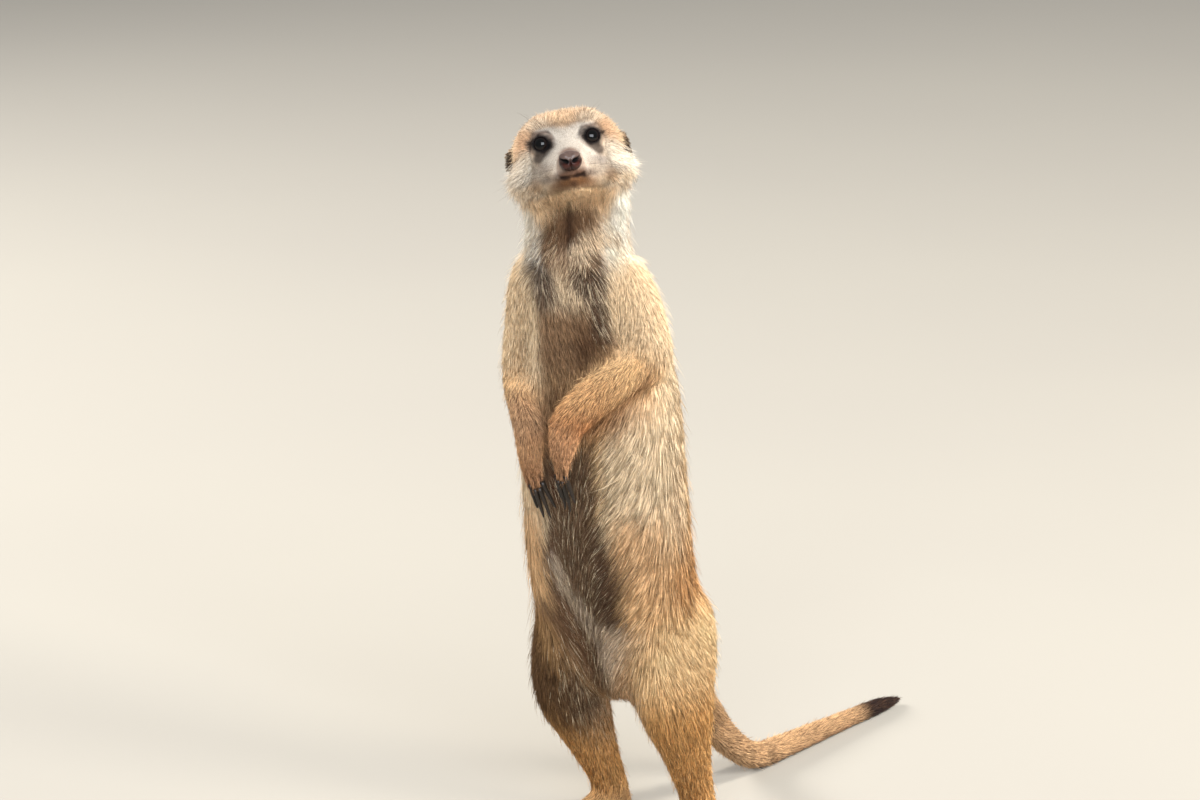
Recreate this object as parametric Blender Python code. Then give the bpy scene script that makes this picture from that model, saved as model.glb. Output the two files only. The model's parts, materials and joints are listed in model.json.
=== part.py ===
"""A life-size adult meerkat standing upright on its hind feet, with its tail laid on the floor behind.

Blender 4.5, metres, +Z up, its body facing -Y. Shapes are worked out in millimetres and scaled by MM, in a
frame whose origin is on the floor between the heels. The flesh is lofted whole, blended into one skin at the
tips of the coat, and then parted with thin cuts into head, neck, trunk, limbs and tail. Eyes, nose leather,
ears and claws are pieces of their own.
"""

import math

import bmesh
import bpy
from mathutils import Matrix, Vector

MM = 0.001
GAP = 0.3  # air left between two solids that meet
SIDES = {"left": 1, "right": -1}  # the animal's own left is +X

# Trunk and neck: height, centre x and y, half width, depth to the front and to the back, turn about the spine
# in degrees towards its left.
TRUNK = {
    "crotch": (60, 0, -25, 11, 13, 15, 0),
    "pelvis": (71, 0, -26, 24, 22, 27, 0),
    "rump": (84, 0, -28, 31, 25, 31, 0),
    "hip": (100, 0, -33, 33, 28, 32, 0),
    "groin": (120, 0, -38, 33, 30.5, 31, 2),
    "belly": (143, 0.5, -42, 32.5, 31, 30.5, 4),
    "waist": (168, 1, -46, 32, 29, 30.5, 7),
    "ribs": (192, 1.5, -49, 30.5, 26.5, 30, 9),
    "breast": (211, 0, -51, 28, 25, 28, 11),
    "shoulders": (228, -2.5, -53, 24, 23, 25, 12),
    "collar": (241, -4, -55, 21.5, 20.5, 22, 14),
    "throat": (252, -4.8, -56, 20.4, 18.5, 20.5, 18),
    "neck": (263, -4.8, -56.5, 20.2, 17, 20, 22),
    "nape": (273, -5, -57, 20, 14.5, 19.5, 26),
    "skull_base": (282, -6, -57, 16, 12, 17, 28),
}

# Head, seen in its own frame: nose towards -y, eyes at height 0.
# Distance along the head, height of its top, its underside and its widest level, half width.
HEAD = {
    "lip": (-25.0, -7.4, -14.6, -10.8, 3.0),
    "nostrils": (-22.5, -5.2, -18.2, -11.5, 5.4),
    "muzzle": (-18.5, -3.2, -20.4, -12, 7.4),
    "whisker_pad": (-13, -1.2, -21.4, -12.5, 9.4),
    "bridge": (-8, 1.8, -22.0, -12, 11.4),
    "brow": (-3, 6.6, -22.6, -10.5, 16.2),
    "forehead": (3, 10.4, -23.2, -9, 19.4),
    "cheeks": (10, 13.2, -24.0, -7, 21.4),
    "crown": (18, 14.4, -24.5, -5, 22.4),
    "ears": (26, 13.4, -24.0, -5, 21.6),
    "back": (34, 9.8, -21.5, -5, 20),
    "occiput": (40, 3.5, -17, -5, 15),
}
# Swellings over the skull on both sides: centre and radii. The chin is single.
HEAD_SWELLINGS = {
    "cheek": ((13.4, 10, -13.2), (12.6, 15, 9.2)),
    "brow": ((8.4, 8, 4.6), (8.4, 11, 8.6)),
    "pad": ((4, -18, -13.6), (4.2, 5.6, 4.2)),
}
CHIN = ((0, -16, -18), (5.2, 6.2, 4.2))
HEAD_SQUARENESS, TRUNK_SQUARENESS, FOOT_SQUARENESS = 0.86, 0.92, 0.8  # 1 is a plain oval, less is squarer
HEAD_PLACE = Vector((0.8, -73.2, 294.0))  # midway between the eyes
HEAD_TURN, HEAD_PITCH, HEAD_ROLL = 30, 17, -9.4  # degrees: to its left, up, and over to its right

EAR_PLACE = Vector((22.3, 21, -4.2))
EAR_HEIGHT, EAR_WIDTH, EAR_EDGE, EAR_THICKNESS = 6.4, 5.4, 1.4, 1.5  # half sizes
EAR_FLARE = 0.33  # how much of its sweep is sideways
EAR_RINGS, EAR_SIDES = 6, 10

EYE_RADIUS = 4.3
EYE_PLACE = Vector((9.2, -3.6, -0.2))  # in the head's frame, mirrored for the other eye
EYE_SEGMENTS, EYE_RINGS = 14, 8
NOSE_PLACE, NOSE_RADII = Vector((0, -24.4, -9.1)), (4.3, 3.4, 3.9)

# Hind leg along its bones: point, half width across, half depth.
LEG = {
    "hip": (15, -22, 112, 10, 15),
    "upper_thigh": (18.5, -25, 97, 15.5, 24),
    "thigh": (21, -27, 80, 16.5, 24.5),
    "knee": (23.5, -28, 64, 14.5, 20),
    "calf": (23, -21, 48, 11.5, 14.5),
    "shin": (21.5, -12.5, 32, 8.6, 10.8),
    "hock": (20.3, -4.5, 17, 6.8, 7.8),
    "heel": (20, 0, 7, 6.4, 7.6),
}
# Hind foot, from heel to the roots of the toes: distance forward, half width, height.
FOOT = {
    "heel_back": (-8, 4.2, 6.5),
    "heel": (-4, 6.2, 11),
    "ankle": (4, 6.8, 13.5),
    "instep": (16, 6.8, 11),
    "sole": (28, 7.6, 9),
    "ball": (40, 8.8, 8),
    "toe_roots": (46, 8.6, 7),
}
FOOT_TURN = 6  # toes turned out, degrees
FOOT_ROOT = (20, 0)
TOE_LENGTH, TOE_RADIUS = 13, 2.9
TOE_SPREAD = (-6.3, -2.1, 2.1, 6.3)
TOE_REACH = (-1.5, 1.5, 1.5, -2.0)  # the middle two reach furthest
TOE_FAN = 1.25  # how far the tips spread from each other, against the roots
SOLE_DEPTH = 1.2  # how far soft undersides are modelled below the floor before they are cut flat

# Tail from its root to its tip: point and radius.
TAIL = {
    "root": (0, -12, 86, 13),
    "base": (0, 8, 66, 10.5),
    "bend": (0, 32, 42, 8.2),
    "slope": (0, 54, 21, 6.9),
    "rest": (0.8, 76, 7.2, 6.2),
    "laid": (2, 98, 4.8, 5.6),
    "middle": (4, 125, 4.1, 4.9),
    "thin": (6, 152, 3.4, 4.2),
    "dark": (8, 174, 3.0, 3.6),
    "tip": (9, 190, 2.0, 1.6),
}

# Upper arms and forearms, point, half width across, half depth. They aren't mirrored: each has its own pose.
UPPER_ARM = {
    "left": {
        "shoulder": (10, -52, 243, 9, 11),
        "deltoid": (16, -53, 233, 10.5, 13),
        "arm": (22.5, -54, 221, 10, 12.5),
        "elbow": (28, -56, 208, 9.3, 10.5),
        "elbow_point": (29.5, -55, 201, 6, 7.5),
    },
    "right": {
        "shoulder": (-17.5, -57, 243, 9, 12),
        "deltoid": (-21, -58.5, 233, 10.5, 13.5),
        "arm": (-23.5, -60, 215, 9.6, 12),
        "elbow": (-26, -60, 200, 8.6, 10),
        "elbow_point": (-27, -58, 193, 5.6, 7),
    },
}
FOREARM = {
    "left": {
        "elbow_point": (30, -55, 205.5, 8.2, 8.2),
        "elbow": (26, -60.5, 205.5, 9.2, 9.4),
        "forearm": (18.5, -71.5, 199.5, 8.9, 9.0),
        "wrist": (9.5, -84, 188.5, 7.4, 7.8),
        "knuckle": (7.2, -87.4, 179.5, 6.2, 6.6),
        "palm": (6.0, -87.8, 172, 4.9, 5.0),
    },
    "right": {
        "elbow_point": (-29, -57.5, 196, 6.8, 7.2),
        "elbow": (-27, -61, 194.5, 7.4, 7.9),
        "forearm": (-18.5, -73, 188.5, 6.9, 7.6),
        "wrist": (-9.2, -85, 181, 6.0, 6.6),
        "knuckle": (-7.0, -87.5, 174, 5.6, 5.4),
        "palm": (-5.8, -87.8, 167.5, 4.9, 4.4),
    },
}
FINGER_LENGTH, FINGER_RADIUS = 9.0, 1.9
FINGER_SPREAD = (-3.5, -1.2, 1.2, 3.5)
FINGER_REACH = (-2.2, 0.2, 0.6, -1.6)
HAND_LEAN = {"left": Vector((0.02, 0.06, -1)), "right": Vector((0.22, 0.05, -1))}
HAND_TURN = {"left": -22, "right": 4}  # which way the knuckles face, degrees from -Y towards +X

FORE_CLAW, HIND_CLAW = (13.0, 1.35), (9.0, 1.3)  # length and base radius
CLAW_BEND, CLAW_DROP, CLAW_SHORTENING, CLAW_TIP = 0.75, 0.16, 0.12, 0.22
CLAW_RINGS, CLAW_SIDES = 3, 6
CLAW_WIDTH, CLAW_DEPTH = 0.8, 1.15
HIND_CLAW_HEIGHT, HIND_CLAW_DIP = 3.0, 0.12

# Where the skin is parted. Each cut is a plane: a point on it and the side that is cut away.
NECK_TOP = (Vector((0, -70, 264.5)), Vector((0.05, -0.18, 1)))
NECK_BASE = (Vector((0, -55, 248)), Vector((0, 0, 1)))
GROIN_HEIGHT, GROIN_SLOPE = 57, 1.55  # the leg's cut rises outwards from the crotch
KNEE = (Vector((24, -25, 57)), Vector((0, 0.35, -1)))
HOCK = (Vector((20, -2, 15.5)), Vector((0, 0.12, -1)))
WRIST = {
    "left": (Vector((8.0, -86.2, 182.5)), Vector((-0.25, -0.4, -1))),
    "right": (Vector((-7.6, -86.6, 176.5)), Vector((0.25, -0.3, -1))),
}
TAIL_CUTS = (
    (Vector((0, 40, 34.5)), Vector((0, 1, -1))),
    (Vector((2, 98, 0)), Vector((0, 1, 0))),
    (Vector((6, 152, 0)), Vector((0, 1, 0))),
)
FLOOR = (Vector(), Vector((0, 0, -1)))
BODY_VOXEL, BODY_SOFTEN, BODY_TRIANGLES = 1.3, 10, 3060
ARM_VOXEL, ARM_SOFTEN, ARM_TRIANGLES = 0.9, 3, 300
FILLET_LOW, FILLET_HIGH = 30, 262  # broad fillets between trunk and thighs reach from here to here
BODY_SIDES, LEG_SIDES, FOOT_SIDES, TAIL_SIDES = 36, 24, 16, 10
UPPER_ARM_SIDES, FOREARM_SIDES, FINGER_SIDES = 14, 20, 12
CAPSULE_RINGS = 5
SHARP_ANGLE = 50  # degrees
FAR = 400  # long enough to reach across the whole animal

COLOURS = {
    "sand": ((0.62, 0.42, 0.22, 1), 0.85),
    "cream": ((0.70, 0.60, 0.46, 1), 0.85),
    "brown": ((0.20, 0.12, 0.07, 1), 0.85),
    "nose_leather": ((0.06, 0.035, 0.03, 1), 0.35),
    "eye_dark": ((0.02, 0.014, 0.012, 1), 0.08),
    "claw_horn": ((0.035, 0.03, 0.028, 1), 0.4),
}


# ---------------------------------------------------------------- building blocks


def smooth_rows(rows, per_span):
    """Rows of numbers read from a Catmull-Rom curve through the given rows."""
    rows = [Vector(row) for row in rows]
    padded = [2 * rows[0] - rows[1], *rows, 2 * rows[-1] - rows[-2]]
    made = []
    for i in range(1, len(padded) - 2):
        before, here, there, after = padded[i - 1 : i + 3]
        for step in range(per_span):
            t = step / per_span
            made.append(
                0.5
                * (
                    2 * here
                    + (there - before) * t
                    + (2 * before - 5 * here + 4 * there - after) * t**2
                    + (3 * here - before - 3 * there + after) * t**3
                )
            )
    return [*made, rows[-1]]


def power(value, exponent):
    return math.copysign(abs(value) ** exponent, value)


def angles(count):
    return [2 * math.pi * k / count for k in range(count)]


def skin_rings(rings, name):
    """A closed mesh object over rings of equal length, in order, with a fan over each end."""
    bm = bmesh.new()
    loops = [[bm.verts.new(point * MM) for point in ring] for ring in rings]
    count = len(loops[0])
    for low, high in zip(loops, loops[1:]):
        for i in range(count):
            j = (i + 1) % count
            bm.faces.new((low[i], low[j], high[j], high[i]))
    for loop in (loops[0], loops[-1]):
        pole = bm.verts.new(sum((v.co for v in loop), Vector()) / count)
        for i in range(count):
            bm.faces.new((loop[i], loop[(i + 1) % count], pole))
    bmesh.ops.recalc_face_normals(bm, faces=bm.faces)
    return object_from(bm, name)


def object_from(bm, name):
    mesh = bpy.data.meshes.new(name)
    bm.to_mesh(mesh)
    bm.free()
    made = bpy.data.objects.new(name, mesh)
    bpy.context.scene.collection.objects.link(made)
    return made


def tube(stations, name, segments, per_span, across=Vector((1, 0, 0))):
    """A limb: oval rings square to a smooth path. Each station is a point, half width and half depth."""
    rows = smooth_rows([row if len(row) == 5 else (*row, row[3]) for row in stations], per_span)
    rings = []
    for i, row in enumerate(rows):
        ahead, behind = rows[min(i + 1, len(rows) - 1)], rows[max(i - 1, 0)]
        along = (Vector(ahead[:3]) - Vector(behind[:3])).normalized()
        side = (across - along * across.dot(along)).normalized()
        depth = along.cross(side)
        rings.append([
            Vector(row[:3]) + side * row[3] * math.cos(a) + depth * row[4] * math.sin(a)
            for a in angles(segments)
        ])
    return skin_rings(rings, name)


def blob(name, centre, radii, place=Matrix(), fineness=3):
    """An ellipsoid, for a muscle or pad that the lofts don't have."""
    bm = bmesh.new()
    bmesh.ops.create_icosphere(bm, subdivisions=fineness, radius=1)
    shape = place @ Matrix.Translation(centre) @ Matrix.Diagonal((*radii, 1))
    bm.transform(Matrix.Scale(MM, 4) @ shape)
    return object_from(bm, name)


def capsule(name, start, end, radius, end_radius):
    """A finger or toe, round at both ends."""
    axis = (end - start).normalized()
    stations = []
    for k in range(-CAPSULE_RINGS, CAPSULE_RINGS + 1):
        centre, r = (end, end_radius) if k > 0 else (start, radius)
        a = k / CAPSULE_RINGS * math.pi / 2
        stations.append((*(centre + axis * r * math.sin(a)), max(r * math.cos(a), GAP / 6)))
    return tube(stations, name, FINGER_SIDES, 1, axis.orthogonal())


def apply_modifiers(made):
    graph = bpy.context.evaluated_depsgraph_get()
    graph.update()
    mesh = bpy.data.meshes.new_from_object(made.evaluated_get(graph))
    made.modifiers.clear()
    made.data = mesh
    return made


def joined(name, pieces):
    """One object holding all these meshes, which may overlap."""
    bm = bmesh.new()
    for piece in pieces:
        bm.from_mesh(piece.data)
        bpy.data.objects.remove(piece)
    return object_from(bm, name)


def blended(name, pieces, voxel, soften, triangles, large_forms=None):
    """The pieces fused into one closed skin, softened where they meet and thinned to about so many triangles.

    large_forms(point) says how strongly broad fillets are wanted there.
    """
    whole = joined(name, pieces)
    fuse = whole.modifiers.new("fuse", "REMESH")
    fuse.mode = "VOXEL"
    fuse.voxel_size = voxel * MM
    apply_modifiers(whole)
    if large_forms:
        group = whole.vertex_groups.new(name="large_forms")
        for v in whole.data.vertices:
            group.add([v.index], large_forms(v.co / MM), "REPLACE")
        broad = whole.modifiers.new("broad", "SMOOTH")
        broad.factor = 0.6
        broad.iterations = 30
        broad.vertex_group = "large_forms"
    fine = whole.modifiers.new("fine", "SMOOTH")
    fine.factor = 0.5
    fine.iterations = soften
    apply_modifiers(whole)
    thin = whole.modifiers.new("thin", "DECIMATE")
    thin.ratio = triangles / (2 * len(whole.data.polygons))
    apply_modifiers(whole)
    whole.vertex_groups.clear()
    return whole


# ---------------------------------------------------------------- the animal's forms


def trunk():
    rings = []
    for z, x, y, half, front, back, turn in smooth_rows(TRUNK.values(), 4):
        turn = math.radians(turn)
        left = Vector((math.cos(turn), math.sin(turn), 0))
        ahead = Vector((math.sin(turn), -math.cos(turn), 0))
        ring = []
        for a in angles(BODY_SIDES):
            depth = front if math.sin(a) > 0 else back
            ring.append(
                Vector((x, y, z))
                + left * half * power(math.cos(a), TRUNK_SQUARENESS)
                + ahead * depth * power(math.sin(a), TRUNK_SQUARENESS)
            )
        rings.append(ring)
    return skin_rings(rings, "trunk")


def trunk_only(point):
    """Where broad fillets between trunk and thighs are wanted: not on the feet or the head."""
    return 1.0 if FILLET_LOW < point.z < FILLET_HIGH else 0.0


def head_frame():
    turn = Matrix.Rotation(math.radians(HEAD_TURN), 4, "Z")
    pitch = Matrix.Rotation(math.radians(-HEAD_PITCH), 4, "X")
    roll = Matrix.Rotation(math.radians(HEAD_ROLL), 4, "Y")
    return Matrix.Translation(HEAD_PLACE) @ turn @ pitch @ roll


def head():
    place = head_frame()
    rings = []
    for y, top, bottom, level, half in smooth_rows(HEAD.values(), 4):
        ring = []
        for a in angles(BODY_SIDES):
            rise = top - level if math.sin(a) > 0 else level - bottom
            across = half * power(math.cos(a), HEAD_SQUARENESS)
            ring.append(place @ Vector((across, y, level + rise * power(math.sin(a), HEAD_SQUARENESS))))
        rings.append(ring)
    pieces = [skin_rings(rings, "skull")]
    for s in SIDES.values():
        for name, ((x, y, z), radii) in HEAD_SWELLINGS.items():
            pieces.append(blob(name, Vector((s * x, y, z)), radii, place))
    pieces.append(blob("chin", Vector(CHIN[0]), CHIN[1], place))
    return pieces


def ear(side):
    """A low half-moon ear, hinged at its front edge and swept back a little out from the side of the head."""
    s = SIDES[side]
    back = Vector((s * EAR_FLARE, math.sqrt(1 - EAR_FLARE**2), 0))
    out = Vector((back.y * s, -back.x * s, 0))
    middle = Vector((s * EAR_PLACE.x, EAR_PLACE.y, EAR_PLACE.z))
    rings = []
    for k in range(EAR_RINGS + 1):
        a = math.pi * k / EAR_RINGS
        width = EAR_EDGE + (EAR_WIDTH - EAR_EDGE) * math.sin(a)
        thick = EAR_THICKNESS * (0.6 + 0.4 * math.sin(a))
        centre = middle + Vector((0, 0, EAR_HEIGHT * math.cos(a)))
        rings.append([
            head_frame() @ (centre + back * width * math.cos(b) + out * thick * math.sin(b))
            for b in angles(EAR_SIDES)
        ])
    return skin_rings(rings, f"ear_{side}")


def eye(side, grow=0.0):
    bm = bmesh.new()
    radius = (EYE_RADIUS + grow) * MM
    bmesh.ops.create_uvsphere(bm, u_segments=EYE_SEGMENTS, v_segments=EYE_RINGS, radius=radius)
    place = Vector((SIDES[side] * EYE_PLACE.x, EYE_PLACE.y, EYE_PLACE.z))
    bm.transform(Matrix.Translation(head_frame() @ place * MM))
    return object_from(bm, f"eye_{side}")


def nose(grow=0.0):
    radii = [radius + grow for radius in NOSE_RADII]
    return blob("nose", NOSE_PLACE, radii, head_frame(), 2)


def leg(side):
    s = SIDES[side]
    return tube([(s * row[0], *row[1:]) for row in LEG.values()], f"leg_{side}", LEG_SIDES, 4)


def foot_frame(side):
    s = SIDES[side]
    root = Matrix.Translation((s * FOOT_ROOT[0], FOOT_ROOT[1], 0))
    return root @ Matrix.Rotation(math.radians(s * FOOT_TURN), 4, "Z")


def toe_ends(side):
    """(root, tip) of each hind toe."""
    place = foot_frame(side)
    for spread, reach in zip(TOE_SPREAD, TOE_REACH):
        root = Vector((spread, -FOOT["toe_roots"][0] + 3, TOE_RADIUS + 0.6))
        ahead = FOOT["toe_roots"][0] + TOE_LENGTH + reach
        tip = Vector((spread * TOE_FAN, -ahead, TOE_RADIUS - SOLE_DEPTH * 0.6))
        yield place @ root, place @ tip


def foot(side):
    place = foot_frame(side)
    rings = []
    for ahead, half, height in smooth_rows(FOOT.values(), 3):
        ring = []
        middle = (height - SOLE_DEPTH) / 2
        for a in angles(FOOT_SIDES):
            rise = height - middle if math.sin(a) > 0 else middle + SOLE_DEPTH
            across = half * power(math.cos(a), FOOT_SQUARENESS)
            ring.append(place @ Vector((across, -ahead, middle + rise * power(math.sin(a), FOOT_SQUARENESS))))
        rings.append(ring)
    pieces = [skin_rings(rings, "foot")]
    pieces += [capsule("toe", root, tip, TOE_RADIUS + 0.3, TOE_RADIUS - 0.2) for root, tip in toe_ends(side)]
    return pieces


def hand_axes(side):
    down = HAND_LEAN[side].normalized()
    turn = math.radians(HAND_TURN[side])
    facing = Vector((math.sin(turn), -math.cos(turn), 0))
    facing = (facing - down * facing.dot(down)).normalized()
    return down, down.cross(facing), facing


def finger_ends(side):
    down, across, facing = hand_axes(side)
    palm = Vector(FOREARM[side]["palm"][:3])
    for spread, reach in zip(FINGER_SPREAD, FINGER_REACH):
        root = palm + across * spread - down * 1.5 + facing * (1.2 - abs(spread) * 0.25)
        tip = palm + across * spread + down * (FINGER_LENGTH + reach) + facing * (0.2 - abs(spread) * 0.2)
        yield root, tip


def forearm(side):
    across = hand_axes(side)[1]
    pieces = [tube(FOREARM[side].values(), "forearm", FOREARM_SIDES, 4, across)]
    pieces += [capsule("finger", root, tip, FINGER_RADIUS + 0.2, FINGER_RADIUS - 0.1)
               for root, tip in finger_ends(side)]
    return pieces


def claw(name, root, ahead, down, size):
    """A curved claw that starts inside the toe and bends towards down."""
    length, radius = size
    side = ahead.cross(down).normalized()
    rings = []
    for k in range(CLAW_RINGS + 1):
        t = k / CLAW_RINGS
        along = ahead * math.cos(CLAW_BEND * t) + down * math.sin(CLAW_BEND * t)
        depth = along.cross(side)
        centre = root + ahead * length * (t - CLAW_SHORTENING * t**2) + down * length * CLAW_DROP * t**2
        r = radius * (1 - t) ** 0.8 + CLAW_TIP
        rings.append([
            centre + side * r * CLAW_WIDTH * math.cos(a) + depth * r * CLAW_DEPTH * math.sin(a)
            for a in angles(CLAW_SIDES)
        ])
    return skin_rings(rings, name)


def claws():
    """Every claw, by name."""
    made = {}
    for side in SIDES:
        down, across, facing = hand_axes(side)
        for n, (root, tip) in enumerate(finger_ends(side), 1):
            ahead = (tip - root).normalized()
            name = f"claw_fore_{side}_{n}"
            made[name] = claw(name, tip + facing * 0.5, ahead, -facing, FORE_CLAW)
        for n, (root, tip) in enumerate(toe_ends(side), 1):
            flat = Vector((tip.x - root.x, tip.y - root.y, 0)).normalized()
            name = f"claw_hind_{side}_{n}"
            start = Vector((tip.x, tip.y, HIND_CLAW_HEIGHT)) + flat * 0.4
            ahead = (flat - Vector((0, 0, HIND_CLAW_DIP))).normalized()
            made[name] = claw(name, start, ahead, Vector((0, 0, -1)), HIND_CLAW)
    return made


# ---------------------------------------------------------------- parting


def copy_of(made, name):
    copy = bpy.data.objects.new(name, made.data.copy())
    bpy.context.scene.collection.objects.link(copy)
    return copy


def swollen(made, by):
    """A copy pushed out along its normals, to cut its neighbours with a gap."""
    copy = copy_of(made, made.name + "_room")
    push = copy.modifiers.new("push", "DISPLACE")
    push.strength = by * MM
    push.mid_level = 0
    return apply_modifiers(copy)


def half_space(point, away):
    """A big block with one face through the point, reaching away from it."""
    bm = bmesh.new()
    bmesh.ops.create_cube(bm, size=2 * FAR * MM)
    turn = away.to_track_quat("Z", "Y").to_matrix().to_4x4()
    bm.transform(Matrix.Translation(point * MM) @ turn @ Matrix.Translation((0, 0, FAR * MM)))
    return object_from(bm, "half_space")


def cut(made, cutters):
    """Apply each cutter in turn, then remove it, and keep only the largest body that is left."""
    for cutter in cutters:
        carve = made.modifiers.new("carve", "BOOLEAN")
        carve.operation = "DIFFERENCE"
        carve.solver = "EXACT"
        carve.use_self = True
        carve.object = cutter
        apply_modifiers(made)
        bpy.data.objects.remove(cutter)
    return largest_body(made)


def largest_body(made):
    bm = bmesh.new()
    bm.from_mesh(made.data)
    left, bodies = set(bm.verts), []
    while left:
        reached, edge = set(), {left.pop()}
        while edge:
            reached |= edge
            edge = {e.other_vert(v) for v in edge for e in v.link_edges} - reached
        left -= reached
        bodies.append(reached)
    largest = max(bodies, key=len)
    bmesh.ops.delete(bm, geom=[v for v in bm.verts if v not in largest], context="VERTS")
    bm.to_mesh(made.data)
    bm.free()
    return made


def split(made, plane, far_name):
    """Part a solid at a plane with a thin gap. It keeps its near side, and the far side is a new object."""
    point, away = plane[0], plane[1].normalized()
    far = cut(copy_of(made, far_name), [half_space(point + away * GAP / 2, -away)])
    cut(made, [half_space(point - away * GAP / 2, away)])
    return far


def groin_plane(s, keep):
    """The slanting cut between trunk and leg: keep 1 leaves the trunk's side of it, and -1 the leg's side."""
    away = Vector((s * GROIN_SLOPE, 0, -1)).normalized()
    return half_space(Vector((0, 0, GROIN_HEIGHT)) - away * keep * GAP / 2, away * keep)


def finish(made, colour):
    """The piece gets its material and smooth shading, with its origin at its own middle."""
    middle = sum((Vector(corner) for corner in made.bound_box), Vector()) / 8
    made.data.transform(Matrix.Translation(-middle))
    made.location = middle
    made.data.materials.clear()
    made.data.materials.append(material(colour))
    made.data.shade_smooth()
    made.data.set_sharp_from_angle(angle=math.radians(SHARP_ANGLE))


def centre_on_floor(pieces):
    """Move everything so that the origin is on the floor under the middle of the whole animal's box."""
    bpy.context.view_layer.update()
    corners = [piece.matrix_world @ Vector(corner) for piece in pieces for corner in piece.bound_box]
    low = Vector(map(min, *corners))
    high = Vector(map(max, *corners))
    for piece in pieces:
        piece.location -= Vector(((low.x + high.x) / 2, (low.y + high.y) / 2, low.z))


def material(name):
    found = bpy.data.materials.get(name)
    if found:
        return found
    made = bpy.data.materials.new(name)
    made.use_nodes = True
    shader = made.node_tree.nodes["Principled BSDF"]
    shader.inputs["Base Color"].default_value, shader.inputs["Roughness"].default_value = COLOURS[name]
    return made


# ---------------------------------------------------------------- putting together


def main():
    for old in list(bpy.data.objects):
        bpy.data.objects.remove(old)
    nodes = {}

    lofts = [trunk(), *head()]
    for side in SIDES:
        lofts += [leg(side), *foot(side)]
    body = blended("trunk", lofts, BODY_VOXEL, BODY_SOFTEN, BODY_TRIANGLES, trunk_only)
    cut(body, [half_space(*FLOOR)])
    for side in SIDES:
        nodes[f"eye_{side}"] = (eye(side), "eye_dark")
        cut(body, [eye(side, GAP)])
    nodes["nose"] = (nose(), "nose_leather")
    cut(body, [nose(GAP)])
    room = swollen(body, GAP)

    for side in SIDES:
        nodes[f"ear_{side}"] = (cut(ear(side), [copy_of(room, "room")]), "brown")
        upper = tube(UPPER_ARM[side].values(), f"upper_arm_{side}", UPPER_ARM_SIDES, 3)
        cut(upper, [copy_of(room, "room")])
        lower = blended(f"forearm_{side}", forearm(side), ARM_VOXEL, ARM_SOFTEN, ARM_TRIANGLES)
        cut(lower, [copy_of(room, "room"), swollen(upper, GAP)])
        nodes[upper.name] = (upper, "cream")
        nodes[f"hand_{side}"] = (split(lower, WRIST[side], f"hand_{side}"), "sand")
        nodes[lower.name] = (lower, "sand")

    length = tube(TAIL.values(), "tail_1", TAIL_SIDES, 3)
    cut(length, [half_space(*FLOOR), copy_of(room, "room")])
    for number, plane in enumerate(TAIL_CUTS, 2):
        nodes[length.name] = (length, "sand")
        length = split(length, plane, f"tail_{number}")
    nodes[length.name] = (length, "brown")
    bpy.data.objects.remove(room)

    rest = split(body, NECK_BASE, "neck")
    nodes["head"] = (split(rest, NECK_TOP, "head"), "cream")
    nodes["neck"] = (rest, "cream")
    for side, s in SIDES.items():
        thigh = cut(copy_of(body, f"thigh_{side}"), [
            half_space(Vector((s * GAP / 2, 0, 0)), Vector((-s, 0, 0))),
            groin_plane(s, -1),
        ])
        shin = split(thigh, KNEE, f"shin_{side}")
        nodes[f"foot_{side}"] = (split(shin, HOCK, f"foot_{side}"), "sand")
        nodes[f"shin_{side}"] = (shin, "sand")
        nodes[f"thigh_{side}"] = (thigh, "sand")
    cut(body, [groin_plane(s, 1) for s in SIDES.values()])
    nodes["trunk"] = (body, "sand")

    for name, made in claws().items():
        toe = nodes[name.replace("claw_fore", "hand").replace("claw_hind", "foot")[:-2]][0]
        nodes[name] = (cut(made, [swollen(toe, GAP), half_space(*FLOOR)]), "claw_horn")

    for made, colour in nodes.values():
        finish(made, colour)
    centre_on_floor([made for made, colour in nodes.values()])


main()
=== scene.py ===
import json
import math

import bpy
import numpy as np
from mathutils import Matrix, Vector
from mathutils.bvhtree import BVHTree
from mathutils.kdtree import KDTree

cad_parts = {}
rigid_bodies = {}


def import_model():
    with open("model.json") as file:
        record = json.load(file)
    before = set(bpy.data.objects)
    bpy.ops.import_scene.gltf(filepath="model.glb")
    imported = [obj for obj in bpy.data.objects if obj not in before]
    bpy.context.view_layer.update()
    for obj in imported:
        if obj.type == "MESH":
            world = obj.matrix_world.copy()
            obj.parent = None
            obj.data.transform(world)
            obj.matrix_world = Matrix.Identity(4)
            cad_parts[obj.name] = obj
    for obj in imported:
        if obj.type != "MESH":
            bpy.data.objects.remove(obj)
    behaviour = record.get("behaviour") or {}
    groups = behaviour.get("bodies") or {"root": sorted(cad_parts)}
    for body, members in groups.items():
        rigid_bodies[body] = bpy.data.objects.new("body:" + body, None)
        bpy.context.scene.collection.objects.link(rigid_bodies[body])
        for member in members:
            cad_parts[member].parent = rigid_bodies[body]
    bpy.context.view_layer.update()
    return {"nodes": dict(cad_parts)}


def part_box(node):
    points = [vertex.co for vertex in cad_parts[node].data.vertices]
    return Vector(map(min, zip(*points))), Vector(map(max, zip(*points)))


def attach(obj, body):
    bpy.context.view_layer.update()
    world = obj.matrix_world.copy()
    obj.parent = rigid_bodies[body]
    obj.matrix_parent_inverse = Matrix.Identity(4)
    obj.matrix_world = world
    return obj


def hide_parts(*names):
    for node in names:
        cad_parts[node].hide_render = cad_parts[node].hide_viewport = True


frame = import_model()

# ---------------------------------------------------------------- camera
# The viewer stands well back in front of the animal, on its left and a little above it, and looks through a
# long lens at its breast, with room left on the side that it faces.
VIEW_TURN, VIEW_RISE = math.radians(30), math.radians(15)
VIEW_DISTANCE = 3.0
AIM = Vector((-0.0419, -0.0195, 0.16305))

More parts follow.
